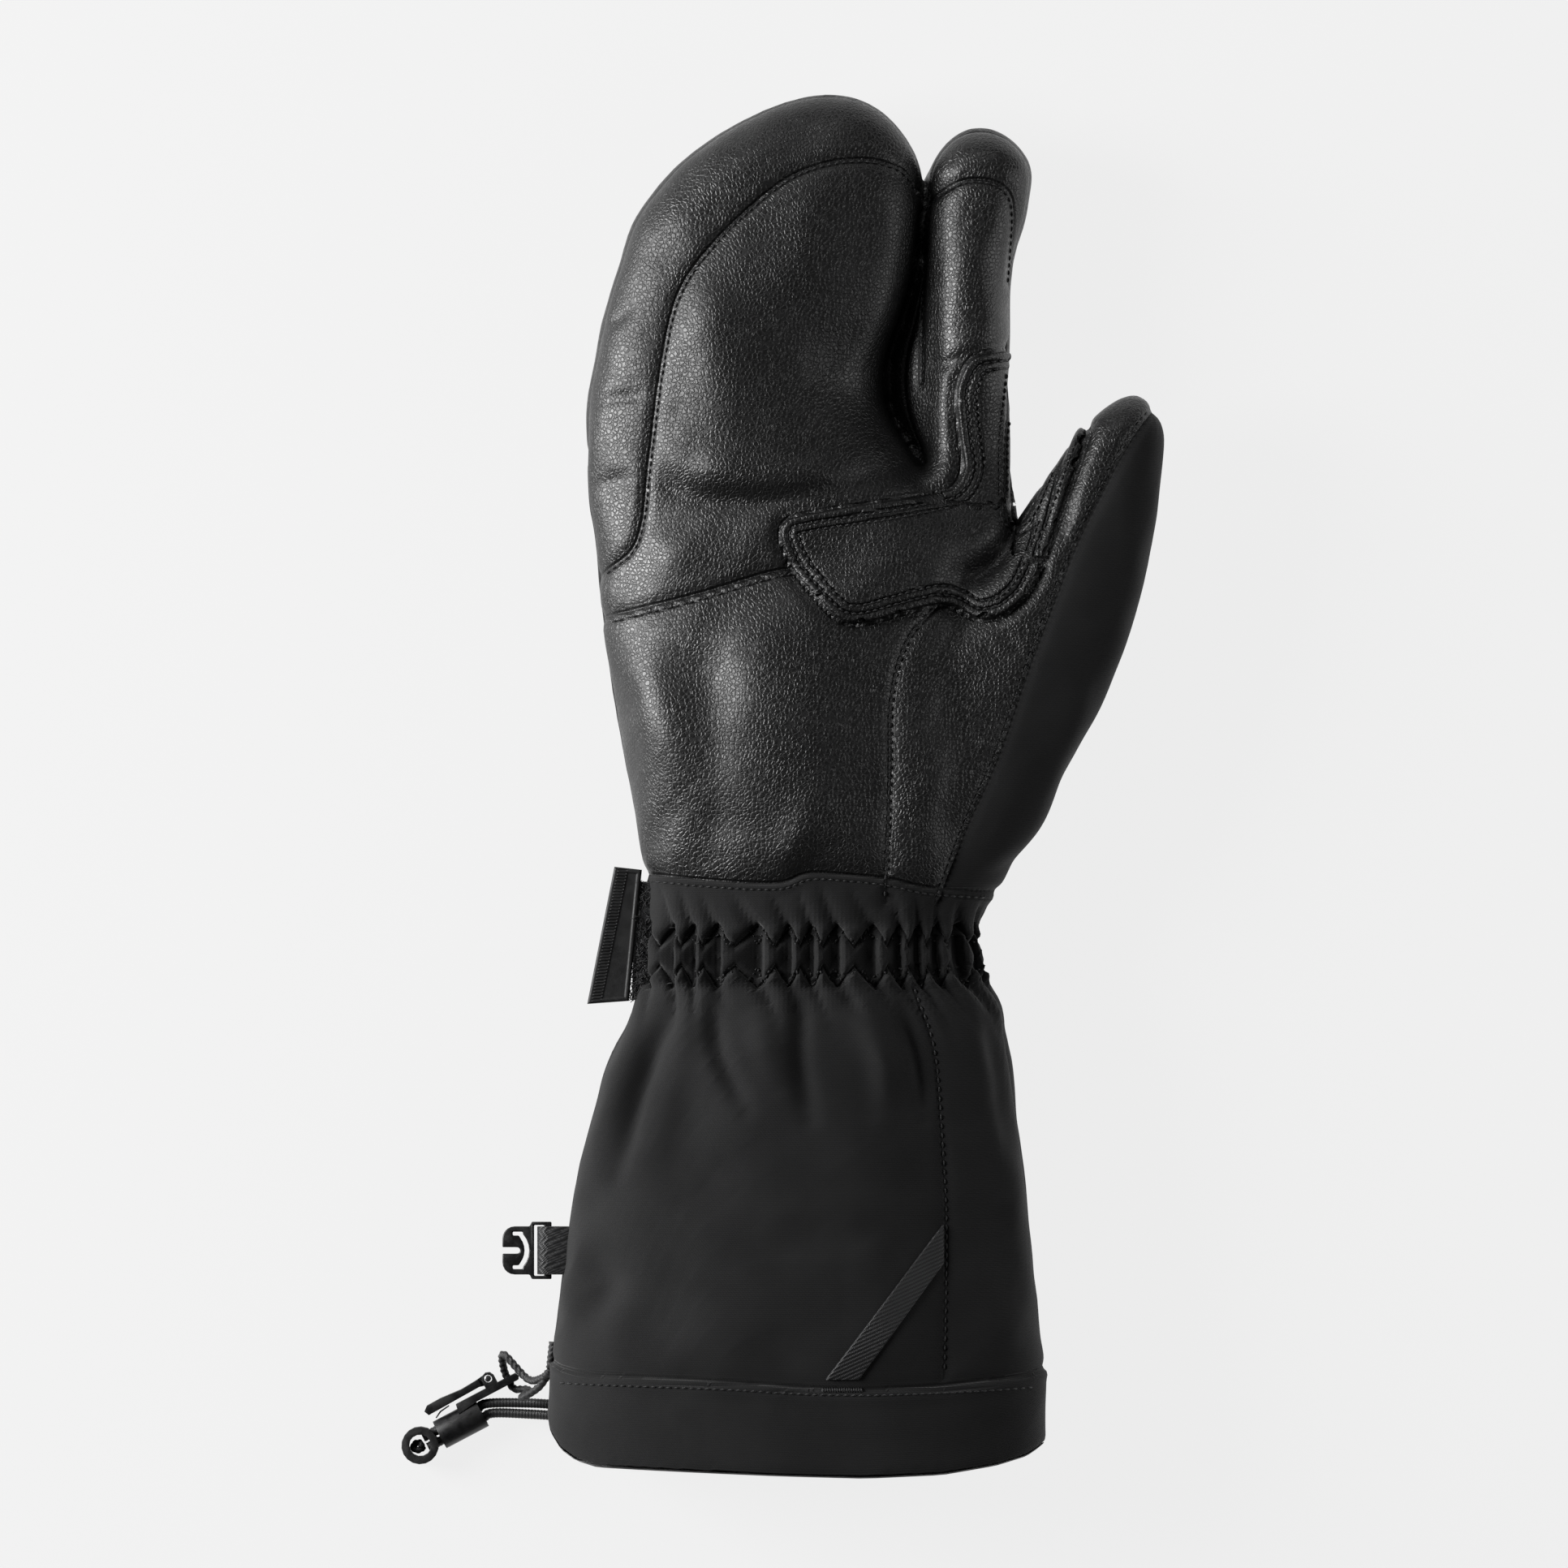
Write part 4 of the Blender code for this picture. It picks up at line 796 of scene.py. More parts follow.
def cutting_fields():
    """Every line that the skin is cut along."""
    def palm(p):
        return p[:, 2] > side_seam_z(p) - 3

    def beyond_hand(p):
        return p[:, 1] > FINGER_LOW - 3

    return [
        lambda p: p[:, 2] - side_seam_z(p),
        lambda p: p[:, 1] - MAIN_TRUNK[0][0] - MOUTH_CUT,
        lambda p: p[:, 1] - curve_height(CURVES["hem"], p[:, 0]),
        lambda p: p[:, 1] - WRIST_LOW,
        lambda p: p[:, 1] - curve_height(CURVES["wrist"], p[:, 0]),
        lambda p: only_where(p[:, 1] - FINGER_LOW, p[:, 0] < 60),
        lambda p: only_where(index_side(p), beyond_hand(p)
                             & (np.abs(p[:, 0] - FINGER_SPLIT_X) < SLIT_REACH)),
        lambda p: only_where(thumb_reach(p) - 6, (p[:, 0] > 48) & (p[:, 1] < 120)),
        lambda p: only_where(p[:, 0] - THUMB_CROTCH_X, (p[:, 1] > 98) & (p[:, 1] < 119)),
        lambda p: only_where(p[:, 1] - BACK_SEAM_Y, ~palm(p) | (p[:, 2] < 30)),
        lambda p: only_where(signed_side(p, CURVES["thumb"]), palm(p) & (p[:, 1] > 10) & (p[:, 1] < 150)),
        lambda p: only_where(signed_side(p, CURVES["gusset"]), palm(p) & (p[:, 1] > 10) & (p[:, 1] < 96)),
        lambda p: only_where(signed_side(p, CURVES["diagonal"]), palm(p) & (p[:, 1] > 80) & (p[:, 1] < 108)
                             & (p[:, 0] < 36)),
        lambda p: only_where(depth_in(p, MITT_FRONT), palm(p) & (p[:, 1] > 86) & (index_side(p) < 1)
                             & (p[:, 0] < 34)),
        lambda p: only_where(depth_in(p, INDEX_FRONT), palm(p) & (p[:, 1] > 110) & (index_side(p) > -1)
                             & (p[:, 0] > 24)),
        lambda p: only_where(signed_side(p, CURVES["gauntlet"]), palm(p) & (p[:, 1] < 0)),
    ]


def panel_of(points):
    """The name of the sewn panel at each point: the CAD node that it stands for."""
    x, y, _ = points.T
    palm = points[:, 2] > side_seam_z(points)
    right_of_thumb_seam = signed_side(points, CURVES["thumb"]) < 0
    hem = y < curve_height(CURVES["hem"], x)
    gauntlet = ~hem & (y < WRIST_LOW)
    cuff = ~hem & ~gauntlet & (y < curve_height(CURVES["wrist"], x))
    hand = ~hem & ~gauntlet & ~cuff
    thumb = hand & (thumb_reach(points) > 6) & (x > THUMB_CROTCH_X) & (y < THUMB_WEB_Y)
    fingers = hand & ~thumb & (y > FINGER_LOW)
    index = fingers & (index_side(points) > 0)
    mitt = fingers & ~index
    hand = hand & ~thumb & ~fingers
    gauntlet_side = signed_side(points, CURVES["gauntlet"]) > 0
    above_diagonal = (signed_side(points, CURVES["diagonal"]) > 0) | (y > 102)
    left_of_gusset = signed_side(points, CURVES["gusset"]) < 0
    in_mitt_front, in_index_front = inside(points, MITT_FRONT), inside(points, INDEX_FRONT)
    rules = [
        ("hem_band_palm", hem & palm), ("hem_band_back", hem & ~palm),
        ("gauntlet_side_panel", gauntlet & palm & gauntlet_side), ("gauntlet_palm_panel", gauntlet & palm),
        ("gauntlet_back_panel", gauntlet & ~palm),
        ("cuff_palm_fabric", cuff & palm), ("cuff_back_fabric", cuff & ~palm),
        ("thumb_palm_leather", thumb & palm & ~right_of_thumb_seam), ("thumb_back_fabric", thumb),
        ("hand_side_fabric", hand & palm & right_of_thumb_seam), ("hand_back_fabric", hand & ~palm),
        ("mitt_sidewall_leather", (mitt | hand) & palm & ~in_mitt_front & (x < -30) & (y > 80)
         & (signed_side(points, CURVES["mitt"]) > 0)),
        ("palm_heel_leather", hand & palm & left_of_gusset & ~above_diagonal),
        ("upper_palm_leather", hand & palm & above_diagonal & ~right_of_thumb_seam),
        ("thumb_gusset_leather", hand & palm),
        ("mitt_palm_leather", mitt & palm & in_mitt_front), ("mitt_sidewall_leather", mitt & palm),
        ("mitt_back_leather", mitt & ~palm & (y > BACK_SEAM_Y)), ("knuckle_back_fabric", mitt & ~palm),
        ("index_palm_leather", index & palm & in_index_front),
        ("index_sidewall_leather", index & palm & (y > 124)),
        ("index_palm_leather", index & palm),
        ("index_back_leather", index & ~palm & (y > BACK_SEAM_Y)), ("index_knuckle_fabric", index & ~palm),
    ]
    names = np.full(len(points), "", dtype=object)
    for name, mask in rules:
        names[(names == "") & mask] = name
    return names


# ---------------------------------------------------------------- materials

class Nodes:
    """A short way to write a material's nodes."""

    def __init__(self, name):
        self.material = bpy.data.materials.new(name)
        self.material.use_nodes = True
        self.tree = self.material.node_tree
        self.shader = self.tree.nodes["Principled BSDF"]

    def add(self, kind, settings=None, **inputs):
        node = self.tree.nodes.new(kind)
        for key, value in (settings or {}).items():
            setattr(node, key, value)
        for key, value in inputs.items():
            self.put(node.inputs[key.replace("_", " ")], value)
        return node

    def put(self, socket, value):
        if isinstance(value, bpy.types.NodeSocket):
            self.tree.links.new(value, socket)
        else:
            socket.default_value = value

    def math(self, operation, a, b=0.0, c=0.0):
        node = self.tree.nodes.new("ShaderNodeMath")
        node.operation = operation
        for socket, value in zip(node.inputs, (a, b, c), strict=True):
            self.put(socket, value)
        return node.outputs[0]

    def remap(self, value, low, high, to_low, to_high):
        return self.add("ShaderNodeMapRange", {"interpolation_type": "SMOOTHSTEP"}, Value=value,
                        From_Min=low, From_Max=high, To_Min=to_low, To_Max=to_high).outputs[0]

    def place(self):
        """The piece's own rest coordinates in millimetres, which stay with it as it bends."""
        return self.add("ShaderNodeAttribute", {"attribute_name": "rest"}).outputs["Vector"]

    def attribute(self, name):
        return self.add("ShaderNodeAttribute", {"attribute_name": name}).outputs["Fac"]

    def noise(self, place, scale, detail=3.0, roughness=0.55):
        return self.add("ShaderNodeTexNoise", Vector=place, Scale=scale, Detail=detail, Roughness=roughness)

    def colour(self, factor, dark, light):
        mixed = self.add("ShaderNodeMix", {"data_type": "RGBA"})
        self.put(mixed.inputs[0], factor)
        mixed.inputs[6].default_value = (*dark, 1)
        mixed.inputs[7].default_value = (*light, 1)
        return mixed.outputs[2]

    def bump(self, height, distance, strength=1.0, normal=None):
        node = self.add("ShaderNodeBump", Height=height, Distance=distance, Strength=strength)
        if normal is not None:
            self.put(node.inputs["Normal"], normal)
        return node.outputs[0]

    def finish(self, colour, roughness, normal, **constants):
        self.put(self.shader.inputs["Base Color"], colour)
        self.put(self.shader.inputs["Roughness"], roughness)
        self.put(self.shader.inputs["Normal"], normal)
        for key, value in constants.items():
            self.shader.inputs[key.replace("_", " ")].default_value = value
        return self.material


def seam_groove(nodes):
    """Height of the narrow crease at a seam, from the distance that each point stores."""
    return nodes.remap(nodes.attribute("seam"), 0.0, 0.8, 0.0, 1.0)


def leather(name, dark, light, grain=0.95, gloss=0.36):
    """Pebbled goatskin: cells about a millimetre across, fine creases, uneven polish, and painted shade
    between the pebbles and at the seams.
    """
    nodes = Nodes(name)
    place = nodes.place()
    drift = nodes.noise(place, 0.5, 2.0)
    shift = nodes.add("ShaderNodeVectorMath", {"operation": "MULTIPLY_ADD"})
    nodes.put(shift.inputs[0], drift.outputs["Color"])
    shift.inputs[1].default_value = (1.1, 1.1, 1.1)
    nodes.put(shift.inputs[2], place)
    cells = nodes.add("ShaderNodeTexVoronoi", {"feature": "DISTANCE_TO_EDGE"}, Vector=shift.outputs[0],
                      Scale=grain, Randomness=0.9).outputs["Distance"]
    pebbles = nodes.remap(cells, 0.0, 0.24, 0.0, 1.0)
    creases = nodes.noise(place, 0.8, 1.0).outputs["Fac"]
    broad = nodes.noise(place, 0.06, 3.0).outputs["Fac"]
    soft_creases = nodes.math("MULTIPLY", creases, 0.3)
    grain_height = nodes.math("MULTIPLY_ADD", pebbles, 0.85, soft_creases)
    normal = nodes.bump(grain_height, 0.1 * MM)
    normal = nodes.bump(seam_groove(nodes), 0.55 * MM, normal=normal)
    # painted shade: darker in the lines between the pebbles and lighter on them, with a broad noise that
    # varies the tone at random
    grain_shade_and_tone = nodes.math("MULTIPLY", pebbles, nodes.remap(broad, 0.35, 0.7, 0.35, 1.0))
    # painted shade: darker along seams, stitch rows, pleats and the patch edge, from the distance that each
    # point stores
    painted_crease_shade = nodes.remap(nodes.attribute("seam"), 0.15, 0.9, 0.0, 1.0)
    colour = nodes.colour(nodes.math("MULTIPLY", grain_shade_and_tone, painted_crease_shade), dark, light)
    roughness = nodes.math("ADD", nodes.remap(pebbles, 0.0, 1.0, gloss + 0.12, gloss),
                           nodes.remap(broad, 0.3, 0.7, 0.05, -0.04))
    return nodes.finish(colour, roughness, normal, Specular_IOR_Level=0.55, Coat_Weight=0.08,
                        Coat_Roughness=0.35)


def softshell(name, dark, light):
    """Matt stretch fabric: fine cross ribs, a twill slant, pale specks of fibre, and painted shade at its
    seams and creases.
    """
    nodes = Nodes(name)
    place = nodes.place()
    ribs = nodes.add("ShaderNodeTexWave", {"bands_direction": "Y"}, Vector=place, Scale=0.62, Distortion=1.2,
                     Detail=1.0, Detail_Scale=3.0).outputs["Fac"]
    slant = nodes.add("ShaderNodeTexWave", {"bands_direction": "DIAGONAL"}, Vector=place, Scale=0.8,
                      Distortion=0.6, Detail=1.0, Detail_Scale=4.0).outputs["Fac"]
    fuzz = nodes.noise(place, 3.0, 4.0, 0.7).outputs["Fac"]
    broad = nodes.noise(place, 0.05, 2.0).outputs["Fac"]
    specks = nodes.remap(nodes.noise(place, 1.3, 2.0, 0.8).outputs["Fac"], 0.70, 0.78, 0.0, 1.0)
    weave = nodes.math("ADD", nodes.math("MULTIPLY", ribs, 0.6), nodes.math("MULTIPLY", slant, 0.35))
    weave = nodes.math("ADD", weave, nodes.math("MULTIPLY", fuzz, 0.5))
    normal = nodes.bump(weave, 0.055 * MM)
    normal = nodes.bump(seam_groove(nodes), 0.45 * MM, normal=normal)
    shade = nodes.math("ADD", nodes.math("MULTIPLY", weave, 0.45), nodes.remap(broad, 0.3, 0.7, 0.0, 0.35))
    shade = nodes.math("ADD", shade, nodes.math("MULTIPLY", specks, 0.5))
    # painted shade: darker along seams, stitch rows, pleats and the shirring's zigzag rows
    painted_crease_shade = nodes.remap(nodes.attribute("seam"), 0.1, 0.8, 0.0, 1.0)
    colour = nodes.colour(nodes.math("MULTIPLY", shade, painted_crease_shade), dark, light)
    return nodes.finish(colour, nodes.remap(fuzz, 0.3, 0.7, 0.82, 0.95), normal, Specular_IOR_Level=0.25,
                        Sheen_Weight=0.12, Sheen_Roughness=0.5)


def fleece(name, dark, light, scale=0.7):
    """Brushed pile or wadding: soft lumps with fine fibre noise."""
    nodes = Nodes(name)
    place = nodes.place()
    lumps = nodes.noise(place, scale, 4.0, 0.6).outputs["Fac"]
    fibre = nodes.noise(place, scale * 6, 5.0, 0.75).outputs["Fac"]
    height = nodes.math("ADD", nodes.math("MULTIPLY", lumps, 0.8), nodes.math("MULTIPLY", fibre, 0.5))
    colour = nodes.colour(nodes.remap(height, 0.35, 0.95, 0.0, 1.0), dark, light)
    return nodes.finish(colour, nodes.remap(fibre, 0.3, 0.7, 0.9, 1.0), nodes.bump(height, 0.35 * MM),
                        Specular_IOR_Level=0.2, Sheen_Weight=0.3)


def webbing(name, dark, light, direction=(1.0, 0.0), pitch=1.0, chevron=0.0):
    """Woven tape: diagonal twill ribs, turning into a herringbone across its width."""
    nodes = Nodes(name)
    split = nodes.add("ShaderNodeSeparateXYZ", Vector=nodes.place())
    x, y = split.outputs[0], split.outputs[1]
    along = nodes.math("MULTIPLY_ADD", x, direction[0], nodes.math("MULTIPLY", y, direction[1]))
    across = nodes.math("MULTIPLY_ADD", x, -direction[1], nodes.math("MULTIPLY", y, direction[0]))
    if chevron:
        across = nodes.math("PINGPONG", across, chevron)
    phase = nodes.math("MULTIPLY", nodes.math("ADD", along, across), 2 * math.pi / pitch)
    ribs = nodes.math("SINE", phase)
    cross_phase = nodes.math("MULTIPLY", nodes.math("SUBTRACT", along, across), 2 * math.pi / (pitch * 0.45))
    threads = nodes.math("SINE", cross_phase)
    fibre = nodes.noise(nodes.place(), 4.0, 3.0).outputs["Fac"]
    height = nodes.math("ADD", nodes.math("MULTIPLY", ribs, 0.5), nodes.math("MULTIPLY", threads, 0.2))
    height = nodes.math("ADD", height, nodes.math("MULTIPLY", fibre, 0.35))
    colour = nodes.colour(nodes.remap(height, -0.4, 0.9, 0.0, 1.0), dark, light)
    return nodes.finish(colour, nodes.remap(ribs, -1.0, 1.0, 0.62, 0.45), nodes.bump(height, 0.12 * MM),
                        Specular_IOR_Level=0.4, Sheen_Weight=0.1)


def moulded(name, dark, light, roughness=0.34, texture=0.02):
    """Injection-moulded plastic or rubber, with a fine spark texture and handling marks."""
    nodes = Nodes(name)
    place = nodes.place()
    spark = nodes.noise(place, 6.0, 3.0, 0.6).outputs["Fac"]
    marks = nodes.noise(place, 0.35, 4.0, 0.7).outputs["Fac"]
    colour = nodes.colour(nodes.remap(marks, 0.35, 0.7, 0.0, 1.0), dark, light)
    finish = nodes.math("ADD", nodes.remap(marks, 0.3, 0.7, roughness - 0.05, roughness + 0.1),
                        nodes.math("MULTIPLY", spark, 0.06))
    return nodes.finish(colour, finish, nodes.bump(spark, texture * MM), Specular_IOR_Level=0.5)


def thread(name, dark, light, twist=2.4):
    """Twisted polyester thread or braided cord: slanted ribs along the strand."""
    nodes = Nodes(name)
    ply = nodes.add("ShaderNodeTexWave", {"bands_direction": "DIAGONAL"}, Vector=nodes.place(), Scale=twist,
                    Distortion=0.8).outputs["Fac"]
    fibre = nodes.noise(nodes.place(), 5.0, 3.0).outputs["Fac"]
    height = nodes.math("ADD", ply, nodes.math("MULTIPLY", fibre, 0.6))
    colour = nodes.colour(nodes.remap(height, 0.2, 1.4, 0.0, 1.0), dark, light)
    return nodes.finish(colour, nodes.remap(fibre, 0.3, 0.7, 0.4, 0.6), nodes.bump(height, 0.05 * MM),
                        Specular_IOR_Level=0.5)


def steel(name):
    nodes = Nodes(name)
    brushed = nodes.add("ShaderNodeTexNoise", Vector=nodes.place(), Scale=9.0, Detail=4.0).outputs["Fac"]
    colour = nodes.colour(brushed, (0.16, 0.16, 0.165), (0.3, 0.3, 0.31))
    polish = nodes.remap(brushed, 0.3, 0.7, 0.22, 0.38)
    return nodes.finish(colour, polish, nodes.bump(brushed, 0.01 * MM), Metallic=1.0)


LEATHER = leather("palm_leather", (0.0012, 0.0012, 0.0014), (0.0065, 0.0064, 0.0062))
PATCH_LEATHER = leather("patch_leather", (0.001, 0.001, 0.0012), (0.0055, 0.0055, 0.0054), 1.0, 0.38)
SOFTSHELL = softshell("softshell_fabric", (0.002, 0.002, 0.0022), (0.0115, 0.0115, 0.0118))
WADDING = fleece("wadding_white", (0.42, 0.42, 0.43), (0.62, 0.62, 0.64), 0.4)
FLEECE = fleece("fleece_black", (0.006, 0.006, 0.0065), (0.022, 0.022, 0.023))
STRAP_WEB = webbing("strap_webbing", (0.004, 0.004, 0.0045), (0.02, 0.02, 0.021), (0.0, 1.0), 1.2, 2.0)
CLIP_WEB = webbing("clip_webbing", (0.003, 0.003, 0.0035), (0.02, 0.02, 0.021), (1.0, 0.0), 1.5, 1.6)
RIBBON_WEB = webbing("ribbon_webbing", (0.002, 0.002, 0.0025), (0.017, 0.017, 0.018), (0.35, 0.94), 1.3, 0.0)
PLASTIC = moulded("black_plastic", (0.004, 0.004, 0.0045), (0.012, 0.012, 0.0125))
RUBBER = moulded("black_rubber", (0.002, 0.002, 0.0022), (0.006, 0.006, 0.0063), 0.5, 0.03)
THREAD = thread("seam_thread", (0.002, 0.002, 0.0022), (0.022, 0.022, 0.023))
CORD = thread("cord_braid", (0.005, 0.005, 0.0055), (0.03, 0.03, 0.031), 1.6)
LOOP_PILE = fleece("loop_pile", (0.006, 0.006, 0.0065), (0.03, 0.03, 0.032), 1.5)
STEEL = steel("spring_steel")


# ---------------------------------------------------------------- pieces

def piece(name, points, faces, material, rest=None, seam=None, normals=None):
    """A shown piece from points in the hand frame. Its rest places and seam distances serve its look."""
    made = object_from(name, to_row(points), faces)
    mesh = made.data
    mesh.materials.append(material)
    mesh.shade_smooth()
    rest = np.asarray(points if rest is None else rest, np.float32)
    stored = mesh.attributes.new("rest", "FLOAT_VECTOR", "POINT")
    stored.data.foreach_set("vector", rest.reshape(-1))
    if seam is not None:
        stored = mesh.attributes.new("seam", "FLOAT", "POINT")
        stored.data.foreach_set("value", np.asarray(seam, np.float32))
    if normals is not None:
        mesh.normals_split_custom_set_from_vertices(np.asarray(normals, np.float32).tolist())
    return made


def bends(made, limb):
    """Puts a piece on its limb's body; pieces of the wrist, mitt, index and thumb are left in place on no
    body.
    """
    along_y = {"wrist": ("gauntlet", "hand", WRIST_BEND), "mitt": ("hand", "fingers", FINGER_BEND),
               "index": ("hand", "index", FINGER_BEND)}
    if limb in along_y:
        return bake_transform(made)
    if limb == "thumb":
        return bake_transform(made)
    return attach(made, limb)


def part_of(keep, points, triangles, *more):
    """The kept triangles with only the points that they use, and the same rows of every other array."""
    triangles = triangles[keep]
    used, index = np.unique(triangles, return_inverse=True)
    return (points[used], index.reshape(-1, 3), *(array[used] for array in more))


PANELS = {  # panel: (limb, material, slot, CAD nodes that it stands for besides its own)
    "hem_band_palm": ("gauntlet", SOFTSHELL, "softshell", ()),
    "hem_band_back": ("gauntlet", SOFTSHELL, "softshell", ()),
    "gauntlet_side_panel": ("gauntlet", SOFTSHELL, "softshell", ()),
    "gauntlet_palm_panel": ("gauntlet", SOFTSHELL, "softshell", ()),
    "gauntlet_back_panel": ("gauntlet", SOFTSHELL, "softshell", ()),
    "cuff_palm_fabric": ("wrist", SOFTSHELL, "softshell", ()),
    "cuff_back_fabric": ("wrist", SOFTSHELL, "softshell", ()),
    "thumb_palm_leather": ("thumb", LEATHER, "leather", ()),
    "thumb_back_fabric": ("thumb", SOFTSHELL, "softshell", ()),
    "hand_side_fabric": ("hand", SOFTSHELL, "softshell", ("thumb_base_fabric",)),
    "hand_back_fabric": ("hand", SOFTSHELL, "softshell", ()),
    "palm_heel_leather": ("hand", LEATHER, "leather", ()),
    "upper_palm_leather": ("hand", LEATHER, "leather", ("knuckle_leather",)),
    "thumb_gusset_leather": ("hand", LEATHER, "leather", ("thumb_base_leather",)),
    "mitt_palm_leather": ("mitt", LEATHER, "leather", ()),
    "mitt_sidewall_leather": ("mitt", LEATHER, "leather", ()),
    "mitt_back_leather": ("mitt", LEATHER, "leather", ()),
    "knuckle_back_fabric": ("mitt", SOFTSHELL, "softshell", ()),
    "index_palm_leather": ("index", LEATHER, "leather", ()),
    "index_sidewall_leather": ("index", LEATHER, "leather", ()),
    "index_back_leather": ("index", LEATHER, "leather", ()),
    "index_knuckle_fabric": ("index", SOFTSHELL, "softshell", ()),
}


def finer(triangles, *arrays):
    """Every triangle split into four, with each array's rows averaged at the new points."""
    ends = np.sort(np.vstack([triangles[:, [0, 1]], triangles[:, [1, 2]], triangles[:, [2, 0]]]), axis=1)
    edges, index = np.unique(ends, axis=0, return_inverse=True)
    ab, bc, ca = index.reshape(3, -1) + len(arrays[0])
    a, b, c = triangles.T
    split = np.stack([a, ab, ca, ab, b, bc, ca, bc, c, ab, bc, ca], axis=1).reshape(-1, 3)
    return (split, *(np.vstack([array, array[edges].mean(axis=1)]) for array in arrays))


def crease_distance(rest):
    """Distance to the nearest seam, stitches, pleat or patch edge, which the materials groove and darken with
    painted shade.
    """
    seam = seam_distance(rest)
    patch_gap = np.where(rest[:, 2] > SIDE_SEAM_Z, np.abs(depth_in(rest, PATCH_LOOP) + 0.5), seam)
    stitched = [near(rest, line, 3.0)[0] + 0.15 for _, line, _, _ in seam_rows()]
    zigzags = [zigzag_gap(rest, row)[0] * 1.7 + 0.15 for row in ZIGZAG_ROWS]
    return np.minimum.reduce([seam, patch_gap, pleat_gap(rest) * 1.5 + 0.1, *stitched, *zigzags])


def gathered(points, faces, rest, outward):
    """A cuff panel with finer triangles, drawn in along its zigzag rows and between its rolls."""
    for _ in range(2):
        faces, points, rest, outward = finer(faces, points, rest, outward)
    drawn = sum(ZIGZAG_GROOVE * hill(zigzag_gap(rest, row)[0], 0.55) for row in ZIGZAG_ROWS)
    drawn = drawn + 0.8 * hill(pleat_gap(rest), 0.6)
    points = points - outward * drawn[:, None]
    return points, faces, rest, vertex_normals(points, faces)


def make_panels(rest, skin, triangles):
    """Cuts the skin into its sewn panels."""
    for field in cutting_fields():
        rest, skin, triangles = cut_along(rest, skin, triangles, field)
    closed_end = rest[triangles].mean(axis=1)[:, 1] < MAIN_TRUNK[0][0] + MOUTH_CUT
    triangles = triangles[~closed_end]
    normals = vertex_normals(skin, triangles)
    names = panel_of(rest[triangles].mean(axis=1))
    for name, (limb, material, slot, more) in PANELS.items():
        points, faces, at_rest, outward = part_of(names == name, skin, triangles, rest, normals)
        if name.startswith("cuff"):
            points, faces, at_rest, outward = gathered(points, faces, at_rest, outward)
        made = piece(name + "_sewn", points, faces, material, at_rest, crease_distance(at_rest), outward)
        bends(made, limb)
        if name in frame["nodes"]:
            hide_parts(name, *more)
    return rest, skin, triangles, normals


def overlay(name, cloth, loop, keep, profile, rows, material, limb, nodes):
    """A piece sewn on the skin inside a loop: profile gives its height from the distance to the loop."""
    rest, skin, triangles, normals = cloth
    near_loop = depth_in(rest, loop)
    chosen = keep & (rest[:, 2] > SIDE_SEAM_Z + 4) & (normals[:, 2] > -0.2)
    faces = triangles[(near_loop[triangles] > -3).any(axis=1) & chosen[triangles].all(axis=1)]
    used, index = np.unique(faces, return_inverse=True)
    part_rest, part_skin, faces = cut_along(rest[used], skin[used], index.reshape(-1, 3),
                                            lambda p: depth_in(p, loop))
    inner = depth_in(part_rest, loop)
    faces = faces[(inner[faces] > -0.02).all(axis=1)]
    used, index = np.unique(faces, return_inverse=True)
    faces, part_rest, part_skin = finer(*finer(index.reshape(-1, 3), part_rest[used], part_skin[used]))
    inner = np.maximum(depth_in(part_rest, loop), 0)
    soft = relaxed(part_skin, faces, 40, 0.5 * smoothstep(-0.4, 0.8, inner)[:, None])
    outward = vertex_normals(soft, faces)
    points = soft + outward * profile(inner)[:, None]
    # the patch's edge and stitch rows are grooved and darkened with painted shade from these distances
    creases = np.minimum.reduce([inner * 0.7, *(np.abs(inner - row) * 1.4 + 0.2 for row in rows)])
    made = piece(name, points, faces, material, part_rest, creases)
    bends(made, limb)
    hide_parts(*nodes)
    return points, faces


def patch_profile(inner):
    """A rolled edge that starts under the skin, and two stitched valleys beside it."""
    edge = 2.2 * np.sqrt(np.clip(1 - (1 - np.minimum(inner / 1.0, 1)) ** 2, 0, 1)) - 0.7
    settled = edge - 0.55 * smoothstep(1.0, 2.6, inner)
    return settled - sum(0.4 * hill(inner - row, 0.45) for row in PATCH_ROWS)


def surface_tree(points, triangles):
    return BVHTree.FromPolygons(np.asarray(points).tolist(), np.asarray(triangles).tolist())


def dropped(tree, x, y):
    """The highest point of a surface above (x, y), with its normal, or None."""
    place, normal, _, _ = tree.ray_cast(Vector((x, y, 90)), Vector((0, 0, -1)))
    return None if place is None else (np.array(place), np.array(normal))


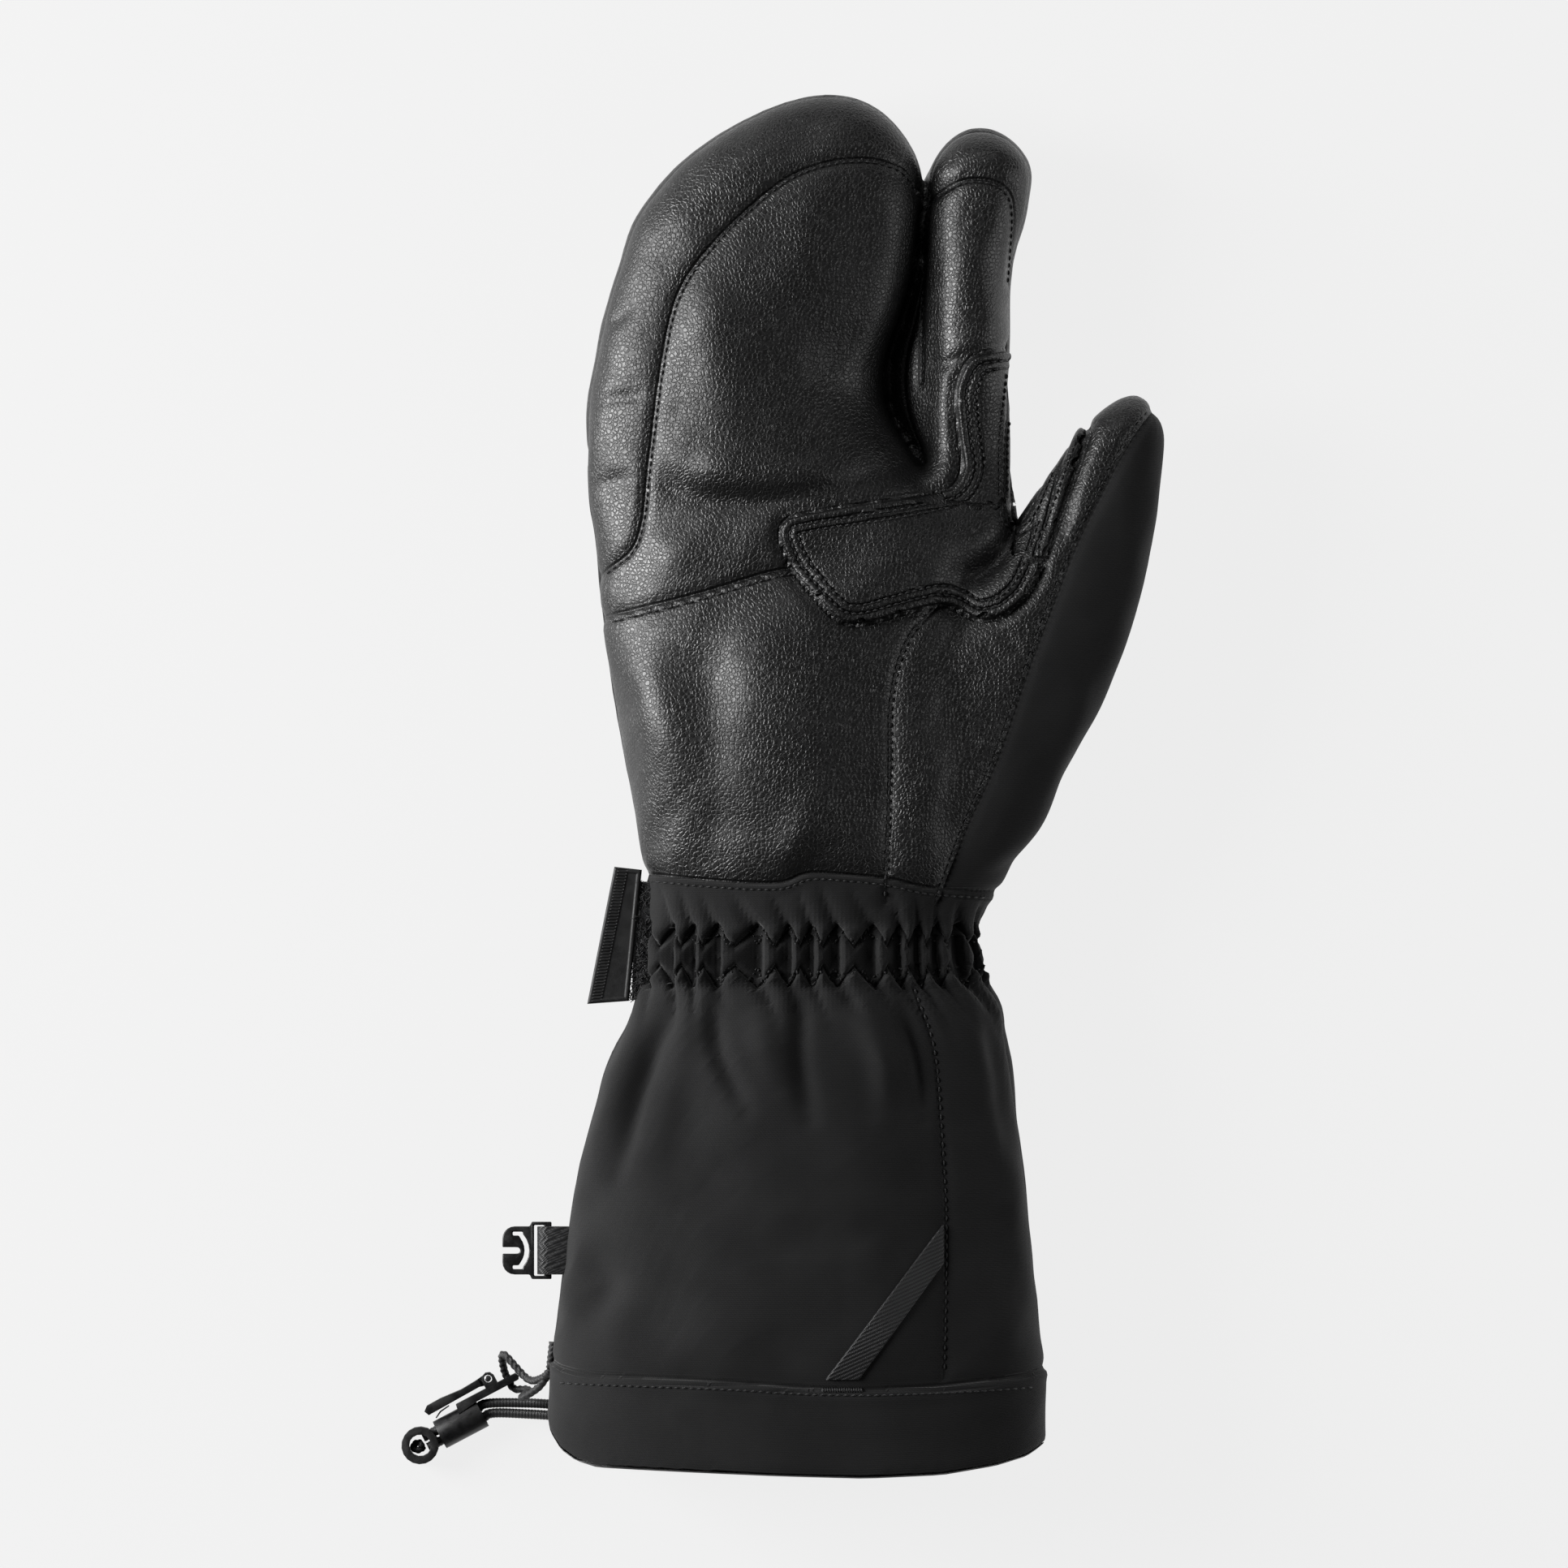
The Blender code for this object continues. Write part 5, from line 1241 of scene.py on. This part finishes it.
def stitch_mesh(spots, normals, thick=0.26, length=0.72):
    """Small bent threads, one for each pair of neighbouring spots, that dip at both ends."""
    points, faces = [], []
    sides, rings = 6, 5
    for (a, b), normal in zip(zip(spots, spots[1:], strict=False), normals, strict=False):
        along = b - a
        size = np.linalg.norm(along)
        if size < 0.2 or size > 4:
            continue
        along = along / size
        across = np.cross(normal, along)
        across /= max(np.linalg.norm(across), 1e-9)
        up = np.cross(along, across)
        middle, reach = (a + b) / 2, size * length / 2
        base = len(points)
        for i in range(rings):
            t = -1 + 2 * i / (rings - 1)
            fat = thick * math.sqrt(max(1 - 0.9 * t * t, 0.06))
            centre = middle + along * reach * t + up * (0.16 - 0.24 * t * t)
            for j in range(sides):
                angle = 2 * math.pi * j / sides
                points.append(centre + fat * (math.cos(angle) * across + math.sin(angle) * up))
        for i in range(rings - 1):
            for j in range(sides):
                k = (j + 1) % sides
                low, high = base + i * sides, base + (i + 1) * sides
                faces.append([low + j, low + k, high + k, high + j])
        faces.append([base + j for j in range(sides)][::-1])
        faces.append([base + (rings - 1) * sides + j for j in range(sides)])
    return np.array(points), faces


def offset_curve(curve, distance):
    """A curve moved sideways, to its left for a positive distance."""
    along = np.gradient(curve[:, :2], axis=0)
    along /= np.maximum(np.linalg.norm(along, axis=1), 1e-9)[:, None]
    return curve[:, :2] + distance * np.stack([-along[:, 1], along[:, 0]], axis=1)


def resampled(curve, pitch):
    lengths = np.concatenate([[0], np.cumsum(np.linalg.norm(np.diff(curve, axis=0), axis=1))])
    wanted = np.arange(0, lengths[-1], pitch)
    return np.stack([np.interp(wanted, lengths, curve[:, k]) for k in range(curve.shape[1])], axis=1)


def stitch_row(name, tree, curve, pitch, skip=None, lift=0.05, thick=0.26):
    """A row of stitches along a curve, laid on a surface and shared out between the limbs it crosses."""
    spots = [(x, y, dropped(tree, x, y)) for x, y in resampled(curve, pitch)]
    groups = {}
    for (x, y, here), (_, _, there) in zip(spots, spots[1:], strict=False):
        if here is None or there is None or here[0][2] < SIDE_SEAM_Z or there[0][2] < SIDE_SEAM_Z:
            continue
        if abs(here[0][2] - there[0][2]) > pitch * 1.6 or (skip is not None and skip(x, y)):
            continue
        pair = (here[0] + here[1] * lift, there[0] + there[1] * lift)
        limb = str(limbs_of(here[0][None, :])[0])
        groups.setdefault(limb, []).append((pair, here[1]))
    for limb, stitches in groups.items():
        points, faces = [], []
        for pair, normal in stitches:
            some, more = stitch_mesh(pair, [normal], thick)
            faces += [[i + sum(map(len, points)) for i in face] for face in more]
            if len(some):
                points.append(some)
        if points:
            made = piece(f"{name}_stitches_{limb}", np.vstack(points), faces, THREAD)
            bends(made, limb)


def make_ribbon(tree):
    """A flat woven strip from the side seam down to the hem, where dense stitches tack it down."""
    top_left, top_right, low_right, low_left = (np.array(corner) for corner in RIBBON)
    closer_at_edges = 0.5 - 0.5 * np.cos(np.linspace(0, math.pi, 22))
    along, across = np.meshgrid(np.linspace(0, 1, 150), closer_at_edges, indexing="ij")
    left = top_left + (low_left - top_left) * along[..., None]
    right = top_right + (low_right - top_right) * along[..., None]
    flat = (left + (right - left) * across[..., None]).reshape(-1, 2)
    wide = abs((top_right - top_left) @ np.array([1, 1]) / math.sqrt(2))
    from_edge = np.minimum(across, 1 - across).reshape(-1) * wide
    lift = 1.0 * smoothstep(0, 0.4, from_edge) - 0.35
    points = []
    for (x, y), height in zip(flat, lift, strict=True):
        place, normal = dropped(tree, x, y)
        points.append(place + normal * height)
    corner = np.arange(len(points)).reshape(across.shape)
    faces = np.stack([corner[:-1, :-1], corner[1:, :-1], corner[1:, 1:], corner[:-1, 1:]], axis=2)
    faces = faces.reshape(-1, 4)
    ribbon = piece("ribbon_pull_woven", np.array(points), faces, RIBBON_WEB)
    tack_points, tack_faces = [], []
    for x in np.arange(low_left[0] - 0.6, low_right[0] + 0.6, 0.62):
        (upper, normal), (lower, _) = dropped(tree, x, -111.8), dropped(tree, x + 0.3, -113.2)
        some, more = stitch_mesh((upper, lower), [normal], 0.36, 1.0)
        tack_faces += [[k + len(tack_points) for k in face] for face in more]
        tack_points += some.tolist()
    for made in (ribbon, piece("ribbon_bar_tack", np.array(tack_points), tack_faces, THREAD)):
        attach(made, "gauntlet")
    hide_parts("ribbon_pull")


def limbs_of(points):
    """The limb whose joint bends the skin at each point."""
    x, y, _ = points.T
    names = np.where(y > WRIST_LOW, "wrist", "gauntlet")
    names = np.where(y > curve_height(CURVES["wrist"], x), "hand", names)
    names = np.where(y > FINGER_LOW, np.where(index_side(points) > 0, "index", "mitt"), names)
    return np.where((thumb_reach(points) > 6) & (x > THUMB_CROTCH_X) & (y < THUMB_WEB_Y), "thumb", names)


def in_patch(x, y):
    return depth_in(np.array([[x, y, 0.0]]), PATCH_LOOP)[0] > -0.4


def seam_rows():
    """The stitched rows along the seams: (name, line, pitch, where to leave stitches out)."""
    return [
        ("diagonal_seam", offset_curve(CURVES["diagonal"], -1.7), 1.9, in_patch),
        ("thumb_seam", offset_curve(CURVES["thumb"], 1.0), 1.8, None),
        ("mitt_seam", offset_curve(CURVES["mitt"], -0.75), 2.0, None),
        ("index_seam", offset_curve(CURVES["index"], -0.75), 1.9, None),
        ("gusset_seam", offset_curve(CURVES["gusset"], -0.6), 2.2, in_patch),
        ("gauntlet_seam", CURVES["gauntlet"], 2.4, None),
        ("wrist_seam", offset_curve(CURVES["wrist"], -1.7), 1.9, None),
        ("hem_seam", offset_curve(CURVES["hem"], -1.8), 2.0, None),
    ]


def make_stitching(rest, skin, triangles, patch):
    """Every visible row of stitches on the palm side."""
    tree = surface_tree(skin, triangles)
    patch_tree = surface_tree(*patch)
    for name, curve, pitch, skip in seam_rows():
        stitch_row(name, tree, curve, pitch, skip)
    closed = np.vstack([PATCH_LOOP, PATCH_LOOP[:1]])
    side = 1 if depth_in(offset_curve(closed, 2.0)[40:41], PATCH_LOOP)[0] > 0 else -1
    for number, distance in enumerate(PATCH_ROWS):
        line = offset_curve(closed, side * distance)
        line = line[depth_in(line, PATCH_LOOP) > distance - 0.25]
        stitch_row(f"patch_row_{number}", patch_tree, line, 1.9, lift=0.15, thick=0.33)
    make_zigzags(skin, rest, triangles)


def make_zigzags(skin, rest, triangles):
    """The two zigzag rows that gather the cuff, all the way round it."""
    near_cuff = (np.abs(rest[:, 1]) < 14)
    faces = triangles[near_cuff[triangles].all(axis=1)]
    tree = surface_tree(skin, faces)
    _, left, right, back, palm = MAIN_TRUNK[6]
    centre = np.array([(left + right) / 2, (back + palm) / 2])
    angle = np.linspace(0, 2 * math.pi, 2400, endpoint=False)
    ring = np.stack([centre[0] + 30 * np.cos(angle), np.zeros_like(angle), centre[1] + 14 * np.sin(angle)],
                    axis=1)
    points, faces = [], []
    for row in ZIGZAG_ROWS:
        _, height = zigzag_gap(ring, row)
        line = []
        for spot, y in zip(ring, height, strict=True):
            out = Vector((spot[0] - centre[0], 0, (spot[2] - centre[1]) * 2.2)).normalized()
            hit, normal, _, _ = tree.ray_cast(Vector((centre[0], y, centre[1])), out)
            if hit is not None:
                line.append((np.array(hit), np.array(normal)))
        places = np.array([spot for spot, _ in line])
        lengths = np.concatenate([[0], np.cumsum(np.linalg.norm(np.diff(places, axis=0), axis=1))])
        marks = np.searchsorted(lengths, np.arange(0, lengths[-1], 1.55))
        for i, j in zip(marks, marks[1:], strict=False):
            pair = (places[i] - line[i][1] * ZIGZAG_GROOVE / 2, places[j] - line[j][1] * ZIGZAG_GROOVE / 2)
            some, more = stitch_mesh(pair, [line[i][1]])
            if len(some):
                faces += [[k + len(points) for k in face] for face in more]
                points += some.tolist()
    bends(piece("shirring_stitches", np.array(points), faces, THREAD), "wrist")


# ---------------------------------------------------------------- inside the glove

def inner_skin(depth):
    """A closed skin at a depth under the outer one, with the outer one's deep folds."""
    voxel = 2.6
    rest, triangles = remeshed(voxel, depth)
    rest = smoothed_skin(rest, triangles, 2, voxel)
    normals = vertex_normals(rest, triangles)
    return rest + normals * np.minimum(fold_height(rest), 0)[:, None], triangles


def make_insides():
    """The wadding and lining of every stall, each a wall inset from the skin."""
    for kind, depth, material, slot in (("insulation", 4.4, WADDING, "wadding"),
                                        ("lining", 6.0, FLEECE, "fleece_lining")):
        points, triangles = inner_skin(depth)
        if kind == "lining":
            triangles = triangles[:, ::-1]
        middles = points[triangles].mean(axis=1)
        limbs = limbs_of(middles)
        for zone_name in ("hand", "mitt", "index", "thumb"):
            zone_points, faces = part_of(limbs == zone_name, points, triangles)
            made = piece(f"{zone_name}_{kind}_inner", zone_points, faces, material)
            bends(made, zone_name)
            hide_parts(f"{zone_name}_{kind}")
    for name, low, high, depth, material, slot in (
            ("wrist_elastic", -10, 10, 5.8, STRAP_WEB, "webbing"),
            ("wrist_lining", -16, 19, 6.8, FLEECE, "fleece_lining")):
        points, triangles = inner_skin(depth)
        y = points[triangles].mean(axis=1)[:, 1]
        zone_points, faces = part_of((y > low) & (y < high), points, triangles[:, ::-1])
        made = piece(name + "_inner", zone_points, faces, material)
        bends(made, "wrist")
        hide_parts(name)
    make_gauntlet_lining()


def make_gauntlet_lining():
    """The lining of the gauntlet, turned over at the mouth into a narrow bound edge."""
    heights = np.concatenate([[-135.2, -135.6, -135.2, -134.0], np.arange(-131, -12, 3.0)])
    inset = np.concatenate([[0.2, 1.4, 2.8, 4.2], np.full(len(heights) - 4, 5.4)])
    left, right, back, palm = sides_at(MAIN_TRUNK, heights)
    angle = np.linspace(0, 2 * math.pi, 96, endpoint=False)
    c, s = np.cos(angle), np.sin(angle)
    across = np.sign(c) * np.abs(c) ** (2 / SQUARENESS)
    upright = np.sign(s) * np.abs(s) ** (2 / SQUARENESS)
    ripple = 0.35 * np.sin(angle * 9 + 0.6) + 0.25 * np.sin(angle * 17)
    x = ((left + right) / 2)[:, None] + ((right - left) / 2 - inset)[:, None] * across
    z = ((back + palm) / 2)[:, None] + ((palm - back) / 2 - inset)[:, None] * upright
    fade = smoothstep(-130, -110, heights)[:, None] * ripple
    x, z = x + fade * across, z + fade * upright
    y = np.broadcast_to(heights[:, None], x.shape)
    points = hem_shaped(np.stack([x, y, z], axis=2).reshape(-1, 3))
    corner = np.arange(len(heights) * 96).reshape(len(heights), 96)
    beside = np.roll(corner, -1, axis=1)
    faces = np.stack([corner[:-1], corner[1:], beside[1:], beside[:-1]], axis=2).reshape(-1, 4)
    made = piece("gauntlet_lining_inner", points, faces, FLEECE)
    bends(made, "gauntlet")
    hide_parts("gauntlet_lining")


# ---------------------------------------------------------------- hardware

LOCK_AT = np.array([-92.9, -123.7, 4.3])
LOCK_TILT = math.radians(27.8)
LOCK_TURN = np.array([[math.cos(LOCK_TILT), -math.sin(LOCK_TILT), 0],
                      [math.sin(LOCK_TILT), math.cos(LOCK_TILT), 0], [0, 0, 1]])


def softened(node, name, material, bevel=0.22):
    """A moulded piece on the CAD node's own shape, with its edges rounded off."""
    mesh = frame["nodes"][node].data.copy()
    shape = bmesh.new()
    shape.from_mesh(mesh)
    bmesh.ops.remove_doubles(shape, verts=shape.verts, dist=0.002 * MM)
    bmesh.ops.dissolve_limit(shape, angle_limit=math.radians(2), verts=shape.verts, edges=shape.edges)
    shape.to_mesh(mesh)
    shape.free()
    source = bpy.data.objects.new(name + "_source", mesh)
    bpy.context.scene.collection.objects.link(source)
    change = source.modifiers.new("bevel", "BEVEL")
    change.width = bevel * MM
    change.segments = 3
    change.limit_method = "ANGLE"
    change.angle_limit = math.radians(35)
    change.use_clamp_overlap = True
    bpy.context.view_layer.update()
    points, triangles = arrays_of(source)
    bpy.data.objects.remove(source)
    made = piece(name, (points - HAND_ORIGIN) / MM, triangles, material)
    made.data.set_sharp_from_angle(angle=math.radians(50))
    body = frame["nodes"][node]["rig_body"]
    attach(made, body)
    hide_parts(node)
    return made


def reshaped(made, change):
    """Moves a piece's points by a function of their places in the hand frame."""
    points = np.empty(len(made.data.vertices) * 3)
    made.data.vertices.foreach_get("co", points)
    points = (points.reshape(-1, 3) - HAND_ORIGIN) / MM
    made.data.vertices.foreach_set("co", to_row(change(points)).reshape(-1))
    made.data.update()


def run_under_panel(points):
    """The clip webbing's tail, drawn on until it lies under the gauntlet."""
    tail = smoothstep(points[:, 0].max() - 2.0, points[:, 0].max() - 0.5, points[:, 0])
    return points + tail[:, None] * np.array([5.0, 0.0, 0.0])


def make_hardware():
    """The clip, the cord lock and its lever, the cord end and the small sewn pieces."""
    softened("clip_hook", "clip_hook_moulded", PLASTIC, 0.3)
    reshaped(softened("clip_webbing_loop", "clip_webbing_woven", CLIP_WEB, 0.25), run_under_panel)
    softened("cord_lock_body", "cord_lock_barrel", PLASTIC, 0.25)
    softened("cord_lock_lever", "cord_lock_thumb_lever", PLASTIC, 0.6)
    softened("cord_lock_pin", "cord_lock_axle", STEEL, 0.15)
    softened("cord_lock_spring", "cord_lock_leaf", STEEL, 0.05)
    softened("strap_hook_patch", "strap_hook_tape", LOOP_PILE, 0.15)
    return softened("cord_end", "cord_end_ring", RUBBER, 0.6)


def tube_mesh(route, radius, sides=14, rings_per_mm=3.0, ribs=0.0, rib_pitch=0.9, strands=0, lay=5.0):
    """A round tube along a route, with ribs across it or with twisted strands."""
    spots = smooth_points(route, 1.0 / rings_per_mm)
    along = np.gradient(spots, axis=0)
    along /= np.linalg.norm(along, axis=1)[:, None]
    lengths = np.concatenate([[0], np.cumsum(np.linalg.norm(np.diff(spots, axis=0), axis=1))])
    across = np.cross(along[0], (0.2, 0.3, 1.0))
    points = []
    angle = np.linspace(0, 2 * math.pi, sides, endpoint=False)
    for spot, way, run in zip(spots, along, lengths, strict=True):
        across = across - way * (across @ way)
        across /= np.linalg.norm(across)
        up = np.cross(way, across)
        size = radius * (1 + ribs * math.sin(2 * math.pi * run / rib_pitch))
        shape = size * (1 + (0.13 * np.cos(strands * (angle - 2 * math.pi * run / lay)) if strands else 0))
        points.append(spot + np.outer(np.cos(angle) * shape, across) + np.outer(np.sin(angle) * shape, up))
    points = np.vstack(points)
    corner = np.arange(len(points)).reshape(len(spots), sides)
    beside = np.roll(corner, -1, axis=1)
    faces = np.stack([corner[:-1], beside[:-1], beside[1:], corner[1:]], axis=2).reshape(-1, 4).tolist()
    faces += [corner[0][::-1].tolist(), corner[-1].tolist()]
    return points, faces, spots, lengths[-1]


EXIT_Y, EXIT_Z = -119.8, 9.5
CORD_PITCH, CORD_WIDE, TETHER_WIDE = 2.9, 2.5, 1.9
EYE_X, RING_X = 17.2, -11.4
TACK_AT = (-68.4, -104.6, 24.0)


def in_lock(x, y, z=0.0):
    """A point of the cord lock's own frame, in the hand frame."""
    return tuple(LOCK_TURN @ np.array([x, y, z]) + LOCK_AT)


def declared_cord(name, node, route, wide, shape):
    """A free cord as a mesh tube."""
    points, faces, spots, length = tube_mesh(route, wide / 2, **shape)
    made = piece(name, points, faces, CORD)
    if name == "tether_loop":
        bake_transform(made)
    else:
        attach(made, "gauntlet")
    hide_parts(node)
    return made


def make_cords(ring):
    """The drawcord's two free ends, through the lock to the cord end, and the tether that keeps the lock."""
    tied = [(0.5, -0.9, -0.4), (-0.9, -0.9, 0.6), (-1.9, 0.1, 0.2), (-1.0, 1.0, -0.5), (0.3, 0.6, 0.3),
            (0.2, -0.6, 0.7)]
    tied = [in_lock(RING_X + along, side, up) for along, side, up in tied]
    knot_points, knot_faces, _, _ = tube_mesh(tied, 0.85, strands=3, lay=4.0)
    knot = piece("cord_knot_tied", knot_points, knot_faces, CORD)
    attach(knot, "gauntlet")
    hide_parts("cord_knot")
    elastic = {"ribs": 0.045, "rib_pitch": 0.85, "rings_per_mm": 5.0}
    for name, side, pieces in (("upper", 1, [ring, knot]), ("lower", -1, [])):
        y = side * CORD_PITCH / 2
        route = [(-50.8, EXIT_Y + y, EXIT_Z), (-56.0, EXIT_Y + y, EXIT_Z), (-64.0, EXIT_Y + y, 8.4),
                 (-74.0, EXIT_Y + y + 0.5, 6.0), in_lock(9.5, y, 0.1), in_lock(6.0, y), in_lock(0, y),
                 in_lock(-5.6, y), in_lock(RING_X + 1.6, y)]
        declared_cord(f"drawcord_{name}", f"drawcord_end_{name}", route, CORD_WIDE, elastic)
    x, y, z = TACK_AT
    tack_route = [(x + 0.6, y + 3.4, z), (x + 0.2, y, z + 0.4), (x - 0.2, y - 3.4, z)]
    tack_points, tack_faces, _, _ = tube_mesh(tack_route, TETHER_WIDE / 2, strands=3, lay=4.0)
    tack = piece("tether_tack_twisted", tack_points, tack_faces, CORD)
    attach(tack, "gauntlet")
    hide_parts("tether_tack")
    tether = [(x - 0.2, y - 4.1, z), (x - 2.4, y - 6.2, z - 4), (x - 6.2, y - 6.6, z - 11),
              in_lock(19.4, 11.0, 5.5), in_lock(EYE_X + 0.3, 7.6, 1.4), in_lock(EYE_X, 4.4),
              in_lock(EYE_X + 0.3, 1.6, 0.2),
              in_lock(20.6, -0.2, 2.6), (x - 7.6, y - 11.5, z - 10), (x - 3.4, y - 8.8, z - 5),
              (x - 0.9, y - 5.6, z - 2.7)]
    declared_cord("tether_loop", "tether_cord", tether, TETHER_WIDE, {"strands": 3, "lay": 5.0})


def make_hem_cord():
    """The drawcord's run inside the hem, which shows only through the exit slot."""
    left, right, back, palm = (value + change for value, change in zip(
        sides_at(MAIN_TRUNK, np.array([EXIT_Y]))[:, 0], (3.4, -3.4, 3.4, -3.4), strict=True))
    turn = np.linspace(math.radians(220.8), math.radians(-126.2), 60)
    c, s = np.cos(turn), np.sin(turn)
    x = (left + right) / 2 + np.sign(c) * np.abs(c) ** (2 / SQUARENESS) * (right - left) / 2
    z = (back + palm) / 2 + np.sign(s) * np.abs(s) ** (2 / SQUARENESS) * (palm - back) / 2
    y = EXIT_Y + CORD_PITCH * (0.5 - np.linspace(0, 1, 60))
    points, faces, _, _ = tube_mesh(np.stack([x, y, z], axis=1)[::3], CORD_WIDE / 2, rings_per_mm=1.0)
    made = piece("hem_drawcord_run", points, faces, CORD)
    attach(made, "gauntlet")
    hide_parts("hem_drawcord")


def make_strap(rest, skin, triangles):
    """The woven strap round the back of the cuff, and the fuzzy loop strip beside its tab."""
    back = (np.abs(rest[:, 1]) < 9.4) & (rest[:, 2] < np.where(rest[:, 0] < 0, CUFF_SEAM_Z - 0.4, 18.0))
    faces = triangles[back[triangles].all(axis=1)]
    used, index = np.unique(faces, return_inverse=True)
    part = relaxed(skin[used], index.reshape(-1, 3), 12, 0.5)
    outward = vertex_normals(part, index.reshape(-1, 3))
    edge = 1 - smoothstep(8.0, 9.4, np.abs(rest[used, 1]))
    tucked = np.where(part[:, 0] > 0, smoothstep(17, 11, part[:, 2]), 1.0)
    points = part + outward * ((0.9 + 1.3 * edge) * tucked - 0.6)[:, None]
    strap = piece("wrist_strap_woven", points, index.reshape(-1, 3), STRAP_WEB, rest[used])
    bends(strap, "wrist")
    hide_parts("wrist_strap")

    make_loop_pile()
    make_tab()


def make_loop_pile():
    """The fuzzy loop strip: a bed that runs on under the cuff, covered with small standing loops of yarn."""
    low, high = (np.array(corner) / MM - HAND_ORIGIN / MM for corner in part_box("strap_loop_strip"))
    tucked = 2.4
    points, faces = [], []
    for _ in range(900):
        y = random_numbers.uniform(low[1], high[1])
        lean = ((y - low[1]) / (high[1] - low[1]) - 0.5) * 1.2
        x = random_numbers.uniform(low[0] + 0.4, high[0] + tucked) + lean
        root = np.array([x, y, random_numbers.uniform(low[2] - 0.4, high[2] - 0.4)])
        turn = random_numbers.uniform(0, 2 * math.pi)
        size = random_numbers.uniform(0.5, 1.0)
        side = np.array([math.cos(turn), math.sin(turn), 0.0])
        loop = [root + side * size * math.cos(a) + np.array([0, 0, size * (0.3 + math.sin(a))])
                for a in np.linspace(-0.6, math.pi + 0.6, 6)]
        some, more, _, _ = tube_mesh(loop, 0.10, sides=4, rings_per_mm=2.2)
        faces += [[k + len(points) for k in face] for face in more]
        points += some.tolist()
    right_end = high[0] + tucked
    bed = [(low[0] + 0.3, low[1]), (right_end, low[1]), (right_end, high[1]), (low[0] + 1.4, high[1])]
    base = len(points)
    for z in (low[2] - 1.2, high[2] - 0.6):
        points += [[x, y, z] for x, y in bed]
    faces += [[base + 3, base + 2, base + 1, base], [base + 4, base + 5, base + 6, base + 7]]
    faces += [[base + i, base + (i + 1) % 4, base + 4 + (i + 1) % 4, base + 4 + i] for i in range(4)]
    pile = piece("strap_loop_pile", np.array(points), faces, LOOP_PILE)
    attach(pile, "gauntlet")
    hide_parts("strap_loop_strip")


def make_tab():
    """The moulded pull tab: a plate with a rounded rim, and fine ribs beside its outer edge."""
    top_left, bottom_left, bottom_right, _, top_right = (np.array(corner) for corner in TAB)
    low, high = (corner.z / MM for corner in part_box("strap_tab"))
    across, along = np.meshgrid(np.linspace(0, 1, 64), np.linspace(0, 1, 300), indexing="ij")
    left = top_left + (bottom_left - top_left) * along[..., None]
    right = top_right + (bottom_right - top_right) * along[..., None]
    flat = left + (right - left) * across[..., None]
    width = np.linalg.norm(right - left, axis=2)
    from_left = across * width
    length = np.linalg.norm(bottom_left - top_left)
    from_edge = np.minimum.reduce([from_left, width - from_left, along * length, (1 - along) * length])
    rim = 0.55 * (np.sqrt(np.clip(1 - (1 - np.minimum(from_edge / 0.6, 1)) ** 2, 0, 1)) - 1)
    ribs = 0.16 * np.sin(2 * math.pi * along * length / 0.85) * smoothstep(1.0, 1.3, from_left) \
        * smoothstep(3.6, 3.3, from_left)
    border = 0.22 * smoothstep(3.6, 3.9, from_left) * smoothstep(0.9, 1.4, from_edge)
    top = high + rim + ribs - border
    shape = across.shape
    upper = np.concatenate([flat, top[..., None]], axis=2).reshape(-1, 3)
    lower = np.concatenate([flat, np.full((*shape, 1), low)], axis=2).reshape(-1, 3)
    corner = np.arange(len(upper)).reshape(shape)
    quads = np.stack([corner[:-1, :-1], corner[:-1, 1:], corner[1:, 1:], corner[1:, :-1]], axis=2)
    quads = quads.reshape(-1, 4)
    border_run = np.concatenate([corner[:, 0], corner[-1, 1:], corner[-2::-1, -1], corner[0, -2:0:-1]])
    walls = np.stack([border_run, np.roll(border_run, -1), np.roll(border_run, -1) + len(upper),
                      border_run + len(upper)], axis=1)
    faces = np.vstack([quads, quads[:, ::-1] + len(upper), walls[:, ::-1]])
    made = piece("strap_pull_tab", np.vstack([upper, lower]), faces, RUBBER)
    made.data.set_sharp_from_angle(angle=math.radians(50))
    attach(made, "strap_tab")
    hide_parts("strap_tab")


# ---------------------------------------------------------------- the whole model

make_stage()
end_ring = make_hardware()
make_cords(end_ring)
make_hem_cord()
rest_points, skin_points, skin_triangles = make_skin()
rest_points, skin_points, skin_triangles, skin_normals = make_panels(rest_points, skin_points, skin_triangles)
cloth = (rest_points, skin_points, skin_triangles, skin_normals)
limbs_here = limbs_of(rest_points)
patch_parts = []
for limb_name, cad_nodes in (("hand", ("grip_patch_palm", "grip_patch_crotch", "grip_patch_thumb_base")),
                             ("index", ("grip_patch_index",)), ("thumb", ("grip_patch_thumb",))):
    patch_name = f"grip_patch_{limb_name}_sewn"
    patch_parts.append(overlay(patch_name, cloth, PATCH_LOOP, limbs_here == limb_name, patch_profile,
                               PATCH_ROWS, PATCH_LEATHER, limb_name, cad_nodes))
make_ribbon(surface_tree(skin_points, skin_triangles))
patch_points = np.vstack([points for points, _ in patch_parts])
offsets = np.cumsum([0] + [len(points) for points, _ in patch_parts])
patch_faces = np.vstack([faces + offset for (_, faces), offset in zip(patch_parts, offsets, strict=False)])
make_stitching(rest_points, skin_points, skin_triangles, (patch_points, patch_faces))
make_strap(rest_points, skin_points, skin_triangles)
make_insides()

bpy.context.view_layer.update()
